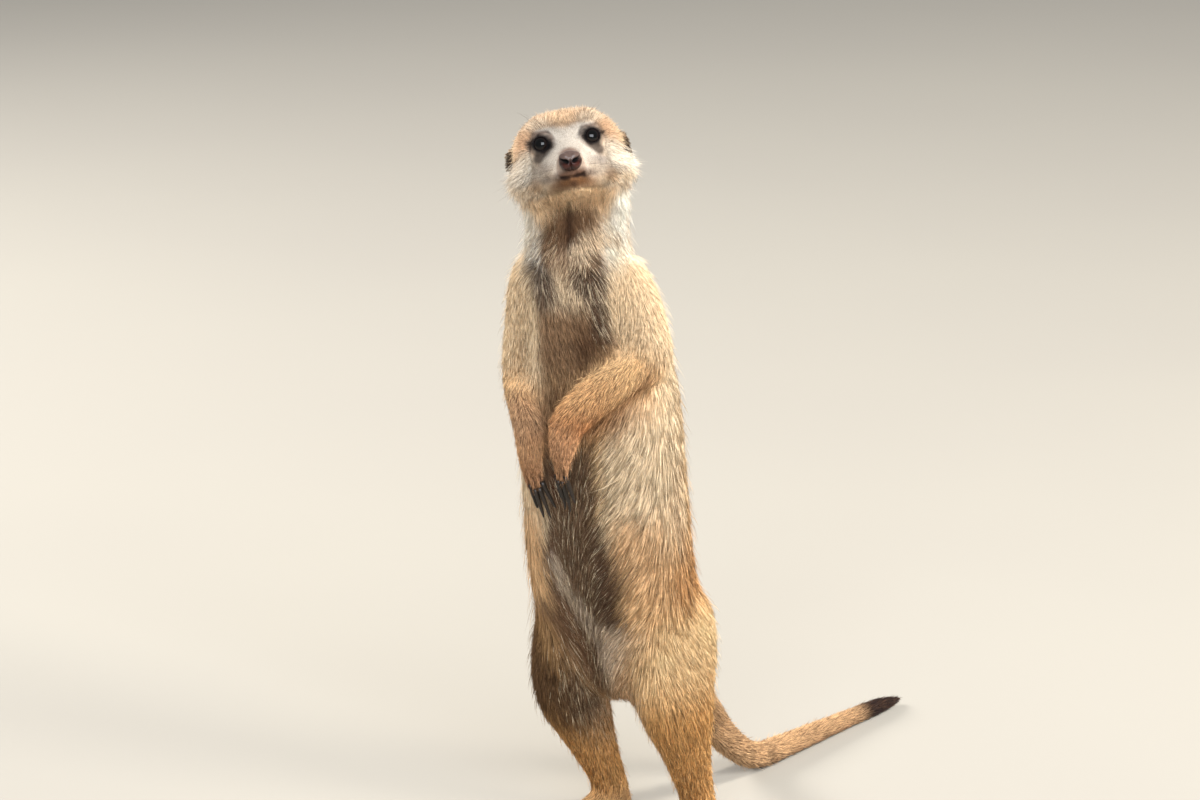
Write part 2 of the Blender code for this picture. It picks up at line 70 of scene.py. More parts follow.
towards_viewer = Vector((
    math.sin(VIEW_TURN) * math.cos(VIEW_RISE),
    -math.cos(VIEW_TURN) * math.cos(VIEW_RISE),
    math.sin(VIEW_RISE),
))
lens = bpy.data.cameras.new("long_lens")
lens.lens = 225
lens.sensor_width = 36
lens.clip_end = 60
viewer = bpy.data.objects.new("viewer", lens)
viewer.location = AIM + towards_viewer * VIEW_DISTANCE
viewer.rotation_euler = towards_viewer.to_track_quat("Z", "Y").to_euler()
bpy.context.scene.collection.objects.link(viewer)
bpy.context.scene.camera = viewer

# ---------------------------------------------------------------- skin
# The hide: one closed skin under the whole coat. It is the flesh of every part run together, smoothed, and
# let down below the coat by the depth of the fur there, then worked on the face into lids and lips.
MM = 0.001
SKIN_GRAIN = 1.28 * MM
SKIN_SWELL = 0.35 * MM
FLESH = [name for name in frame["nodes"] if not name.startswith("claw")]
COAT_DEPTH = {  # how far below the tips of the coat the skin lies, in millimetres
    "head": 1.3, "ear": 0.4, "nose": 0.9, "eye": 0.9, "neck": 2.8, "trunk": 2.6, "upper_arm": 1.8,
    "forearm": 1.2, "hand": 0.4, "thigh": 2.0, "shin": 1.3, "foot": 0.5,
    "tail_1": 1.5, "tail_2": 1.1, "tail_3": 0.8, "tail_4": 0.6,
}
HAND_SLIM = 1.1  # the two hands touch, so below the wrist each is slimmed on the side towards the other
PARTS = list(COAT_DEPTH)
EYE_RADIUS = 4.3


def middle(node):
    low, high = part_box(node)
    return (Vector(low) + Vector(high)) / 2


def unit(v):
    return v / np.maximum(np.linalg.norm(v, axis=-1, keepdims=True), 1e-9)


def ease(value, low, high):
    """0 below low, 1 above high, and a smooth rise between. It works downwards too."""
    t = np.clip((value - low) / (high - low), 0, 1)
    return t * t * (3 - 2 * t)


def owned(share, *names):
    """How far each point belongs to these parts together."""
    return sum(share[:, PARTS.index(name)] for name in names)


def only(obj):
    bpy.ops.object.select_all(action="DESELECT")
    obj.select_set(True)
    bpy.context.view_layer.objects.active = obj


def edit_all(obj, step, **settings):
    """One edit-mode operator is run on the whole of a piece."""
    only(obj)
    bpy.ops.object.mode_set(mode="EDIT")
    bpy.ops.mesh.select_all(action="SELECT")
    step(**settings)
    bpy.ops.object.mode_set(mode="OBJECT")


def read(items, what, wide, kind=np.float32):
    """One property of all of these items, as rows so many numbers wide."""
    values = np.empty(len(items) * wide, kind)
    items.foreach_get(what, values)
    return values.reshape(-1, wide)


def points_of(mesh):
    return read(mesh.vertices, "co", 3).astype(float)


def normals_of(mesh):
    return read(mesh.vertex_normals, "vector", 3).astype(float)


def cad_points(node):
    return points_of(frame["nodes"][node].data)


def set_points(mesh, points):
    mesh.vertices.foreach_set("co", points.astype(np.float32).ravel())


def merged_copy(nodes, name):
    """One new object holding these nodes' meshes, with each node's own loose triangles sewn together."""
    bpy.ops.object.select_all(action="DESELECT")
    for node in nodes:
        copy = bpy.data.objects.new(name, frame["nodes"][node].data.copy())
        bpy.context.scene.collection.objects.link(copy)
        copy.data.materials.clear()
        edit_all(copy, bpy.ops.mesh.remove_doubles, threshold=1e-6)
        at, out = points_of(copy.data), normals_of(copy.data)
        push = np.full(len(at), SKIN_SWELL)
        if node.startswith("hand"):
            inward = np.clip(out[:, 0] * (-1 if node.endswith("left") else 1), 0, 1)
            below = ease((at[:, 2].max() - at[:, 2]) / MM, 2, 7)
            push -= below * inward * (SKIN_SWELL + HAND_SLIM * MM)
        set_points(copy.data, at + out * push[:, None])
    made = [obj for obj in bpy.context.scene.objects if obj.name.split(".")[0] == name]
    for obj in made:
        obj.select_set(True)
    bpy.ops.object.join()
    whole = bpy.context.view_layer.objects.active
    whole.name = name
    return whole


def split_faces(obj, test):
    """Each face whose middle passes the test is subdivided once."""
    chosen = test(read(obj.data.polygons, "center", 3).astype(float))
    only(obj)
    bpy.ops.object.mode_set(mode="EDIT")
    bpy.ops.mesh.select_mode(type="FACE")
    bpy.ops.mesh.select_all(action="DESELECT")
    bpy.ops.object.mode_set(mode="OBJECT")
    obj.data.polygons.foreach_set("select", chosen)
    bpy.ops.object.mode_set(mode="EDIT")
    bpy.ops.mesh.subdivide(number_cuts=1)
    bpy.ops.mesh.select_mode(type="VERT")
    bpy.ops.object.mode_set(mode="OBJECT")


def averaged(values, edges, rounds, share=1.0):
    """Values at the vertices, evened out with their neighbours' so many times."""
    count = len(values)
    a, b = edges.T
    degree = np.bincount(edges.ravel(), minlength=count).astype(float)[:, None]
    for _ in range(rounds):
        sums = [np.bincount(a, column[b], count) + np.bincount(b, column[a], count) for column in values.T]
        total = np.stack(sums, axis=1)
        values = values + (total / np.maximum(degree, 1) - values) * share
    return values


# The head's own axes, in millimetres: x to its left, y to the back, z up, from just behind the eyes.
EYE_FORWARD, EYE_HEIGHT = 3.6, -0.2
eye_mid = (middle("eye_left") + middle("eye_right")) / 2
between_eyes = middle("eye_left") - middle("eye_right")
EYE_SPREAD = between_eyes.length / 2 / MM
head_side = between_eyes.normalized()
down_nose = (middle("nose") - eye_mid).normalized()
across_nose = down_nose.cross(head_side)
NOSE_SLOPE = math.atan2(8.9, 20.8)
head_back = -(down_nose * math.cos(NOSE_SLOPE) + across_nose * math.sin(NOSE_SLOPE))
head_up = across_nose * math.cos(NOSE_SLOPE) - down_nose * math.sin(NOSE_SLOPE)
HEAD_AXES = np.array([head_side, head_back, head_up])
HEAD_ZERO = np.array(eye_mid - head_back * -EYE_FORWARD * MM - head_up * EYE_HEIGHT * MM)


def to_head(points):
    return (points - HEAD_ZERO) @ HEAD_AXES.T / MM


def from_head(points):
    return points @ HEAD_AXES * MM + HEAD_ZERO


def on_face(points):
    h = to_head(points)
    return (h[:, 2] > -25) & (h[:, 1] < 28) & (np.abs(h[:, 0]) < 26)


def at_eyes_or_muzzle(points):
    h = to_head(points)
    eye_gap = np.linalg.norm(np.abs(h) * (1, -1, 1) - (EYE_SPREAD + 0.6, 6.5, -0.2), axis=1)
    return (eye_gap < 7.5) | (h[:, 1] < -13)


skin = merged_copy(FLESH, "skin")
fuse = skin.modifiers.new("fuse", "REMESH")
fuse.mode = "VOXEL"
fuse.voxel_size = SKIN_GRAIN
soften = skin.modifiers.new("soften", "SMOOTH")
soften.factor = 0.5
soften.iterations = 8
only(skin)
for modifier in ("fuse", "soften"):
    bpy.ops.object.modifier_apply(modifier=modifier)
split_faces(skin, on_face)
split_faces(skin, at_eyes_or_muzzle)
toe_roots, toe_ways = [], []
for limb in ("hand_left", "hand_right", "foot_left", "foot_right"):
    kind, side = limb.split("_")
    heart = np.array(middle(limb))
    roots = []
    for n in range(1, 5):
        horn = cad_points(f"claw_{'fore' if kind == 'hand' else 'hind'}_{side}_{n}")
        gap = np.linalg.norm(horn - heart, axis=1)
        roots.append(horn[gap < gap.min() + 2 * MM].mean(axis=0))
    toe_roots.append(np.array(roots))
    toe_ways.append(unit(heart - np.mean(roots, axis=0)))


def between_toes(points):
    """1 in the clefts between the toes and 0 elsewhere, and 1 on the toes."""
    cleft, toe = np.zeros(len(points)), np.zeros(len(points))
    for roots, way in zip(toe_roots, toe_ways):
        offset = points[:, None] - roots[None]
        back = offset @ way / MM
        aside = np.linalg.norm(offset - (offset @ way)[:, :, None] * way, axis=2) / MM
        aside.sort(axis=1)
        reach = ease(back.mean(axis=1), 8.5, 5.5) * (aside[:, 0] < 4)
        cleft = np.maximum(cleft, ease(aside[:, 1] - aside[:, 0], 1.5, 0.1) * reach)
        toe = np.maximum(toe, reach)
    return cleft, toe


split_faces(skin, lambda points: between_toes(points)[1] > 0.01)
mesh = skin.data
edges = read(mesh.edges, "vertices", 2, np.int32)

# Each point of the skin belongs to the nearest part of the flesh.
corners, owners = [], []
for name in FLESH:
    co = cad_points(name)
    longest_match = max((part for part in PARTS if name.startswith(part)), key=len)
    for face in frame["nodes"][name].data.polygons:
        corners += [Vector(co[v]) for v in face.vertices]
        owners.append(PARTS.index(longest_match))
flesh = BVHTree.FromPolygons(corners, [(3 * i, 3 * i + 1, 3 * i + 2) for i in range(len(owners))])
co = points_of(mesh)
part = np.array([owners[flesh.find_nearest(Vector(p))[2]] for p in co])

share = averaged(np.eye(len(PARTS))[part], edges, 30)
head_co = to_head(co)
depth = share @ np.array([COAT_DEPTH[name] for name in PARTS])
on_head = owned(share, "head")
face_front = ease(head_co[:, 1], 6, -6)
cheek_side = ease(np.abs(head_co[:, 0]), 11, 18) * ease(head_co[:, 2], 2, -8)
depth += on_head * (-0.5 * face_front + 2.2 * cheek_side * (1 - face_front))
depth = averaged(depth[:, None], edges, 6)
normals = normals_of(mesh)
co = co - normals * (depth * MM + SKIN_SWELL)
cleft, toe = between_toes(co)
co = co - normals * (cleft * 1.2 * MM)[:, None]
co = averaged(co, edges, 3, 0.5)
seam = np.clip(4 * on_head * owned(share, "neck"), 0, 1)
co = averaged(co, edges, 120, 0.6 * seam[:, None])

# Face: sockets and lids round the eyes, a line for the mouth, and hollows in the ears.
LID_WIDE, LID_HIGH = 3.0, 2.85
LID_LIFT = 0.42
EYE_AXIS = unit(np.array([0.24, -0.96, 0.13]))
MOUTH = np.array([(0, -15.2), (2.0, -15.1), (4.0, -14.8), (6.4, -14.1)])
MOUTH_FRONT = -9  # the mouth's line ends this far back


def eye_frame(s):
    """The eye's centre and its axes: out of the head, level across, and up."""
    out = EYE_AXIS * (s, 1, 1)
    across = unit(np.cross(out, (0, 0, 1)))
    return np.array([s * EYE_SPREAD, -EYE_FORWARD, EYE_HEIGHT]), out, across, np.cross(across, out)


def near_path(points, path):
    """Distance from each point to a line through the path's points, and how far along it lies, 0 to 1."""
    best = np.full(len(points), 1e9)
    along = np.zeros(len(points))
    for i, (a, b) in enumerate(zip(path, path[1:])):
        t = np.clip((points - a) @ (b - a) / ((b - a) @ (b - a)), 0, 1)
        gap = np.linalg.norm(points - a - t[:, None] * (b - a), axis=1)
        closer = gap < best
        best = np.where(closer, gap, best)
        along = np.where(closer, (i + t) / (len(path) - 1), along)
    return best, along


h = to_head(co)
for s in (1, -1):
    centre, out, across, up = eye_frame(s)
    v = h - centre
    reach, ahead, ray = np.linalg.norm(v, axis=1), v @ out, unit(v)
    ring = np.hypot(v @ across / LID_WIDE, v @ up / LID_HIGH)
    facing = (ahead > 0) & (reach < EYE_RADIUS + 4)
    # vertices near the opening are drawn onto its edge, so that the lid is crisp
    near_edge = facing & (ring > 0.80) & (ring < 1.12)
    edge_flat = (v - ahead[:, None] * out) / np.maximum(ring, 1e-3)[:, None]
    edge_out = np.sqrt(np.maximum((EYE_RADIUS + LID_LIFT) ** 2 - (edge_flat**2).sum(axis=1), 0))
    h = np.where(near_edge[:, None], centre + edge_flat + edge_out[:, None] * out, h)
    inside = facing & (ring <= 0.80)
    h = np.where(inside[:, None], centre + ray * (EYE_RADIUS - 1.0), h)
    lid = facing & (ring >= 1.12)
    fold = EYE_RADIUS + LID_LIFT + 0.35 * ease(ring, 1.1, 1.45) * ease(ring, 2.1, 1.5)
    h = np.where((lid & (reach < fold))[:, None], centre + ray * fold[:, None], h)


def mouth_place(h):
    """Distance from the mouth's line as seen from in front, and how far out along it."""
    gap, along = near_path(np.stack([np.abs(h[:, 0]), h[:, 2]], axis=1), MOUTH)
    return np.where(h[:, 1] < MOUTH_FRONT, gap, 99), along


gap, along = mouth_place(h)
lips = ease(gap, 0.9, 0.1) * ease(along, 1.0, 0.7)
skin_normals = unit(normals @ HEAD_AXES.T)
h -= skin_normals * (lips * 0.35)[:, None]
upper_lip = ease(gap, 2.6, 0.9) * ease(h[:, 2], -15.2, -14.4) * (1 - lips)
h += skin_normals * (upper_lip * 0.3)[:, None]
EAR_MID = np.array([22.3, 21, -4.2])
v = np.abs(h) * (1, 0, 1) + h * (0, 1, 0) - EAR_MID
hollow = ease(np.hypot(v[:, 1] / 3.2, v[:, 2] / 4.2), 1.0, 0.3) * (v[:, 0] > 0.4)
h -= skin_normals * (hollow * (part == PARTS.index("ear")) * 1.1)[:, None]
NOSE_RADII = np.array([4.5, 3.6, 4.0])
nose_centre = to_head(np.array([middle("nose")]))[0]
v = h - nose_centre
h = nose_centre + v * (1 - 0.5 * ease(np.linalg.norm(v / NOSE_RADII, axis=1), 0.95, 0.8))[:, None]
headed = np.isin(part, [PARTS.index(name) for name in ("head", "ear", "eye", "nose")])
co = np.where(headed[:, None], from_head(h), co)
co[:, 2] = np.maximum(co[:, 2], 0.25 * MM)
set_points(mesh, co)
mesh.update()
mesh.shade_smooth()

edit_all(skin, bpy.ops.uv.smart_project, angle_limit=math.radians(66), island_margin=0.002)
mesh.uv_layers[0].name = "OFBake"

# ---------------------------------------------------------------- markings
# The colours of the coat, worked out from where a hair lies: on the face from the eyes and nose, and on
# the body from its height and its way round from the middle of the belly. Skin and hairs share them.


def dye(red, green, blue):
    """A colour of the coat as it looks in daylight, 0 to 255, made linear."""
    value = np.array([red, green, blue]) / 255
    return np.where(value <= 0.04045, value / 12.92, ((value + 0.055) / 1.055) ** 2.4)


CREAM, STRAW, GOLD, TAN = dye(242, 221, 188), dye(220, 186, 138), dye(216, 168, 108), dye(196, 156, 112)
GRIZZLE, BARK = dye(186, 160, 128), dye(132, 102, 76)
UMBER, SOOT = dye(100, 74, 56), dye(40, 30, 28)
LEVELS = np.arange(66, 270, 6) * MM
TWIST = ((60, 0), (168, 7), (241, 14), (263, 22), (282, 28))  # height, and how far the breast is turned there
BAND_STEP = 15.5  # from one dark band of the back to the next
cloud = np.concatenate([cad_points("trunk"), cad_points("neck")])
slabs = [cloud[np.abs(cloud[:, 2] - level) < 7 * MM] for level in LEVELS]
spine = np.array([(slab.min(axis=0) + slab.max(axis=0)) / 2 for slab in slabs])


def wander(points, size, seed):
    """A smooth random field about 0, within -1 to 1, whose patches are about so many millimetres across."""
    rng = np.random.default_rng(seed)
    total = np.zeros(len(points))
    for _ in range(6):
        way = rng.normal(size=3)
        way *= (0.6 + 0.8 * rng.random()) * 2 * math.pi / (size * MM * np.linalg.norm(way) * 2)
        total += np.sin(points @ way + rng.random() * 2 * math.pi)
    return total / 3.5


def spot(x, z, cx, cz, rx, rz, soft=0.5):
    return ease(np.hypot((x - cx) / rx, (z - cz) / rz), 1 + soft, 1 - soft)


def streak(x, z, start, end, wide, soft):
    gap, _ = near_path(np.stack([x, z], axis=1), np.array([start, end], float))
    return ease(gap, wide * (1 + soft), wide * (1 - soft))


def body_place(points):
    """Height in millimetres, and degrees round the body from the middle of the belly, more to its left."""
    height = points[:, 2] / MM
    x, y = (np.interp(points[:, 2], LEVELS, spine[:, k]) for k in (0, 1))
    turn = np.degrees(np.arctan2(points[:, 0] - x, y - points[:, 1])) - np.interp(height, *zip(*TWIST))
    return height, (turn + 180) % 360 - 180


def markings(points, share):
    """For each point, the hair's colour at tip and at root, and the shares of dark and of pale hairs."""
    count = len(points)
    h = to_head(points)
    height, turn = body_place(points)
    away = np.abs(turn)
    leftward, backward = points[:, 0] / MM, points[:, 1] / MM
    mottle, drift, fine = wander(points, 9, 3), wander(points, 30, 8), wander(points, 2.2, 6)
    head, torso = owned(share, "head", "ear", "eye", "nose"), owned(share, "trunk", "neck")
    upper_arm, forearm, hand = (owned(share, name) for name in ("upper_arm", "forearm", "hand"))
    leg, tail = owned(share, "thigh", "shin", "foot"), owned(share, "tail_1", "tail_2", "tail_3", "tail_4")
    over, under = np.tile(STRAW, (count, 1)), np.tile(BARK, (count, 1))
    dark, pale = np.full(count, 0.10), np.zeros(count)

    def paint(target, colour, amount):
        linear = dye(*colour) if isinstance(colour, tuple) else colour
        target += (linear - target) * np.clip(amount, 0, 1)[:, None]

    def both(tip, root, amount):
        paint(over, tip, amount)
        paint(under, root, amount)

    def set_share(target, value, amount):
        target += (value - target) * np.clip(amount, 0, 1)

    def level(low, high):
        return ease(height, low, high)

    def off(low, high):
        """0 to 1 with the way round from the middle of the belly, to either side."""
        return ease(away, low, high)

    def line_gap(across, *path):
        """Distance of each point of the breast from a line through these places round it and up it."""
        return near_path(np.stack([turn * across, height], axis=1), np.array(path))[0]

    # trunk: the grizzled back with its dark bands
    spine_side = off(84, 118) * torso
    both((184, 134, 84), TAN * 0.5, spine_side * level(185, 120))
    both(GRIZZLE, BARK, spine_side * level(120, 185))
    set_share(dark, 0.34, off(70, 105) * torso)
    set_share(dark, 0.34, off(76, 96) * level(182, 168) * torso)
    wave = np.sin(height / BAND_STEP * 2 * math.pi + drift * 0.7)
    bands = ease(wave, -0.05, 0.65) * off(118, 142) * level(232, 205) * torso
    set_share(dark, 0.85, bands)
    paint(over, UMBER * 1.5, bands * 0.4)

    # the pale flanks, browner towards the back
    both(CREAM, TAN, off(20, 34) * off(112, 88) * level(118, 150) * torso)
    both((196, 148, 100), BARK * 0.8, off(58, 84) * level(156, 116) * torso)
    aside = off(84, 66) * off(30, 44) * torso
    both((206, 168, 126), (128, 98, 70), aside * level(160, 142) * 0.9)
    both((230, 190, 142), (156, 120, 86), aside * level(126, 110))
    fleck = np.clip(mottle - 0.1, 0, 1) * off(62, 84) * level(178, 160) * torso
    both((158, 112, 74), (78, 54, 40), fleck * 0.55)

    # the dark belly, darkest at the breast; behind the hands and in the hollow under the arm it is darker
    # still as painted shade
    both((150, 120, 88), UMBER * 0.8, off(50, 30) * torso * level(176, 190))
    near_hand = 12 * ease(turn, 0, 10) * level(140, 156) - 9 * level(142, 132)
    both((96, 73, 56), (42, 31, 27), ease(away + near_hand, 40, 24) * torso * level(176, 158))
    both((108, 86, 66), (42, 32, 29), off(30, 14) * torso * level(192, 174))
    set_share(pale, 0.12, off(40, 24) * torso * level(186, 160))
    # painted shade: the belly behind and between the hands is darkened as if in their shadow
    shade_behind_hands = ease(np.abs(turn + 28), 30, 17) * torso * level(150, 160) * level(202, 192)
    both((80, 53, 38), (34, 22, 17), shade_behind_hands * 0.9)
    both((132, 104, 78), UMBER * 0.65, off(52, 30) * torso * level(200, 214))
    # painted shade: the hollow between the breast and the upper arm is darkened as if in the arm's shadow
    hollow = ease(np.abs(turn - 12), 26, 6) * torso * level(196, 206) * level(232, 216)
    both((86, 62, 44), UMBER * 0.4, hollow)
    both(CREAM, TAN, off(40, 60) * off(118, 96) * torso * level(186, 196))

    # the pale chest with a dark patch at each shoulder's whorl
    chest = torso * level(226, 238)
    both((230, 208, 176), (116, 92, 70), chest * off(78, 60) * 0.9)
    set_share(dark, 0.22, chest * off(78, 60))
    beside_arm = torso * ease(turn, 34, 46) * ease(turn, 76, 60) * level(212, 222)
    both((236, 212, 178), (150, 120, 92), beside_arm * 0.8)
    for side, low, high, wide in ((-40, 238, 249, 25), (21, 242, 249, 18), (27, 226, 243, 15)):
        gap = np.hypot((turn - side) / wide, (height - np.clip(height, low, high)) / 9)
        patch = ease(gap + 0.2 * mottle, 1.25, 0.35) * torso
        both((80, 65, 56), (34, 26, 23), patch * (0.84 if side > 0 else 0.95))
        set_share(dark, 0.42, patch)
        set_share(pale, 0.27 if side > 0 else 0.08, patch)

    # the groin, pale towards the thigh
    groin = ease(line_gap(0.6, (-15, 127), (-6, 112), (6, 100), (8, 84)), 7, 2.5) * torso
    both((112, 84, 62), (54, 39, 30), torso * level(118, 104) * ease(turn, 2, -14) * 0.9)
    inner = torso * level(106, 94) * ease(turn, 8, 20) * ease(turn, 72, 50)
    both((240, 218, 192), (184, 158, 132), inner * 0.8)
    both((190, 172, 152), UMBER, groin * 0.7)

    # neck: pale at the sides, brown in front, with a dark parting down the throat
    low_head = head * ease(h[:, 2], -17, -22)
    own_neck = owned(share, "neck")
    neck = np.clip(own_neck + low_head + owned(share, "trunk") * level(244, 252), 0, 1)
    both((255, 250, 237), (240, 222, 202), neck * off(26, 44))
    both((200, 168, 130), BARK, neck * off(84, 112))
    both((240, 208, 168), (180, 146, 112), low_head * off(60, 40))
    throat = neck * ease(h[:, 2] + 0.8 * mottle, -24.0, -29.0)
    both((134, 104, 78), (80, 60, 45), throat * off(48, 22))
    both((82, 58, 42), (36, 25, 19), throat * ease(away + 7 * drift, 26, 6) * level(250, 258) * 0.9)
    both((186, 160, 132), (96, 74, 58), throat * off(40, 14) * level(257, 250) * 0.85)
    gap = np.hypot((turn - 1 - 1.5 * mottle) / 2.4, (height - np.clip(height, 256, 268)) / 5)
    both((52, 36, 28), (28, 20, 16), ease(gap, 1.6, 0.4) * neck * (0.75 + 0.25 * mottle))
    set_share(pale, 0.15, neck * off(8, 18) * level(268, 252))
    crescent = line_gap(0.35, (4, 252), (9.5, 257), (21, 255))
    both((240, 218, 188), (132, 106, 82), torso * ease(crescent + 1.4 * mottle, 5.5, 2.0) * 0.7)

    # legs: gold flecked with brown outside and behind, and brown within; the far leg's front is darker,
    # partly its own brown and partly painted shade
    thigh = owned(share, "thigh")
    both(GOLD, (150, 108, 72), leg)
    set_share(dark, 0.26, leg)
    within = leg * ease(np.abs(leftward), 23, 12) * level(30, 60)
    both((182, 154, 128), BARK, within * 0.85)
    set_share(pale, 0.25, within)
    both((255, 224, 175), (232, 188, 140), thigh * ease(leftward, 10, 22) * level(58, 88))
    set_share(dark, 0.18, thigh)
    # partly painted shade: the far leg's front is darkened beyond its own brown
    shaded = leg * ease(leftward, 0, -8) * ease(backward, -64, -86) * level(28, 66)
    both((76, 56, 41), (44, 33, 26), shaded * 0.9)
    both(TAN, BARK, owned(share, "foot") * 0.7)

    # arms: cream at the shoulder, then gold, and fox-coloured underneath and on the hand; the far arm and
    # hand are darker as painted shade, and each forearm's underside carries painted shade
    both((250, 224, 186), (206, 172, 134), upper_arm)
    both((222, 178, 128), (150, 106, 70), forearm)
    both((154, 95, 54), (80, 46, 27), forearm * level(200, 184) * 0.9)
    both((210, 160, 118), (122, 84, 60), hand)
    # painted shade: the far hand and forearm are darker and greyer than the near ones
    both((226, 174, 130), (132, 92, 66), hand * ease(leftward, 0, 4))
    both((180, 146, 112), (112, 84, 62), forearm * ease(leftward, 2, -8) * 0.85)
    for part_share, value in ((upper_arm, 0.17), (forearm, 0.26), (hand, 0.24)):
        set_share(dark, value, part_share)
    for side, s in (("left", 1), ("right", -1)):
        mid_forearm = np.array(middle("forearm_" + side))
        run = unit(np.array(middle("hand_" + side)) - mid_forearm)
        offset = points - mid_forearm
        this_side = leftward * s > 0
        both((238, 202, 152), (172, 134, 94), forearm * ease(offset @ run / MM, 2, -16) * this_side * 0.8)
        offset = offset - (offset @ run)[:, None] * run
        # painted shade: the underside of each forearm, down and towards the back, is darkened as if in shadow
        # over the flank
        below = ease(offset @ unit(np.array((0.0, 0.8, -0.6))) / MM, 1.0, 6.0) * this_side
        both((132, 84, 52), (60, 38, 26), forearm * below * 0.75)
    cleft, toes = between_toes(points)
    both((160, 116, 84), (80, 58, 46), toes * 0.3)
    # painted shade: the clefts between the toes, which are also pressed in, are darkened
    both((78, 52, 38), (40, 28, 22), cleft * 0.85)

    # tail: gold above, brown below, ending black
    both((186, 152, 115), (128, 98, 72), tail)
    set_share(dark, 0.24, tail)
    paint(over, UMBER * 1.3, owned(share, "tail_2", "tail_3") * level(5, 1.5) * 0.7)
    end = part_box("tail_4")[0][1]
    both(SOOT * 1.2, SOOT, tail * ease(points[:, 1], end - 0.004, end + 0.012))

    # head: tawny crown, white face, and fawn behind the cheeks
    x, y, z = np.abs(h[:, 0]), h[:, 1], h[:, 2]
    upper = head * ease(z, -22, -17)
    front = ease(y, 14, 6)

    def face_spot(cx, cz, rx, rz, soft=0.5):
        return upper * spot(x, z, cx, cz, rx, rz, soft)

    both((206, 176, 146), (162, 130, 102), upper)
    set_share(dark, 0.10, upper)
    set_share(pale, 0, upper)
    both(GRIZZLE, BARK, upper * ease(y, 18, 32) * 0.9)
    crown = upper * ease(z, 5.5, 8.5)
    both((210, 184, 156), (156, 124, 98), crown)
    set_share(dark, 0.22, crown)
    mask = upper * front * ease(z, 8.0, 5.5) * ease(z, -18, -12) * ease(x, 14, 9)
    both((222, 215, 206), (188, 174, 158), mask)
    both((220, 192, 160), (164, 130, 100), front * face_spot(0, 9.4, 5.6, 3.8))
    both((238, 226, 208), (180, 157, 134), upper * ease(x, 10, 15) * ease(z, 2, -5) * ease(y, 20, 10))
    set_share(dark, 0.16, upper * ease(x, 15, 18) * ease(z, 0, -5))
    both((230, 212, 188), (186, 160, 134), face_spot(10.4, 8.4, 5.0, 2.2) * ease(y, 10, 2) * 0.85)
    both((206, 170, 138), (150, 114, 88), face_spot(17.6, 2.6, 3.6, 3.4) * ease(y, 12, 4) * 0.7)
    both((208, 180, 150), (154, 122, 96), upper * ease(x, 16, 19) * ease(z, -6, -1) * ease(y, 2, 8) * 0.7)

    # jaw and muzzle: fawn under the chin, grey at the whisker beds, brown round the nose and mouth
    jaw_front = ease(x, 13, 7)
    both((244, 212, 170), (212, 176, 136), upper * ease(z, -18.6, -20.6) * jaw_front)
    both((240, 222, 196), (200, 170, 138), upper * ease(z, -13, -17) * (1 - jaw_front) * ease(y, 16, 8))
    both((236, 224, 206), (180, 156, 134), face_spot(12.0, -11.5, 5.5, 3.2) * ease(y, 6, -4))
    both((200, 154, 106), (140, 98, 66), face_spot(14.8, -15.6, 2.7, 2.7, 0.6) * (0.55 + 0.3 * mottle))
    both((176, 170, 168), (96, 86, 82), face_spot(10.4, -9.6, 3.6, 2.0, 0.6) * (0.55 + 0.6 * mottle))
    both((128, 104, 92), (70, 54, 48), face_spot(9.6, -13.6, 3.2, 1.5, 0.6) * (0.4 + 0.6 * mottle))
    round_nose = np.sqrt(x**2 + (y + 23.5) ** 2 + (z + 10.5) ** 2)
    both((186, 158, 136), (130, 102, 84), upper * ease(round_nose, 7.6, 5.2) * 0.7)
    both((164, 136, 120), (112, 88, 78), upper * spot(x, y, 0, -20.4, 3.9, 4.2) * (z > -9) * 0.9)
    both((110, 75, 54), (62, 41, 31), face_spot(0, -14.4, 6.8, 2.5) * (y < -13) * 0.92)
    both((156, 112, 76), (98, 66, 44), face_spot(0, -17.2, 7.0, 2.2) * (y < -8))
    both((92, 62, 44), (60, 42, 32), face_spot(0, -18.0, 1.6, 1.3, 0.7) * (y < -12) * 0.8)
    mouth_gap, mouth_along = mouth_place(h)
    lip = upper * ease(mouth_gap + 0.5 * fine, 1.3, 0.2) * ease(mouth_along + 0.15 * fine, 1.0, 0.7)
    both((40, 24, 17), (26, 16, 13), lip * 0.92)

    # eyes: grey round about, a dark streak to each corner, and a black ring at the lids
    # painted shade: the dark ring is drawn wider round the right eye, on the side turned away from the camera
    ring = np.hypot((x - 9.9) / 1.04, z - 0.35) * np.where(h[:, 0] > 0, 1.08, 0.98)
    ahead = upper * (y < 5)
    both((150, 132, 120), (98, 84, 76), ahead * ease(ring + 0.4 * fine, 5.9, 4.1) * 0.8)
    for tip, root, start, stop, wide, soft, amount in (
        ((104, 92, 82), (70, 60, 54), (9.0, -2.2), (11.8, -5.2), 1.9, 0.45, 0.95),
        ((112, 90, 80), (70, 54, 48), (7.0, 4.7), (12.0, 4.9), 0.7, 0.7, 0.6),
        ((74, 58, 54), (46, 36, 34), (6.4, 4.2), (5.2, 1.6), 0.7, 0.7, 0.6),
        ((52, 38, 33), (36, 27, 24), (13.0, 1.0), (14.6, 1.6), 0.9, 0.6, 0.8),
    ):
        both(tip, root, ahead * streak(x, z, start, stop, wide, soft) * amount)
    both((56, 44, 40), (30, 23, 21), ahead * ease(ring + 0.4 * fine, 4.4, 3.7) * 0.9)
    both((16, 12, 12), (9, 7, 7), ahead * ease(ring + 0.2 * fine, 3.8, 3.3))

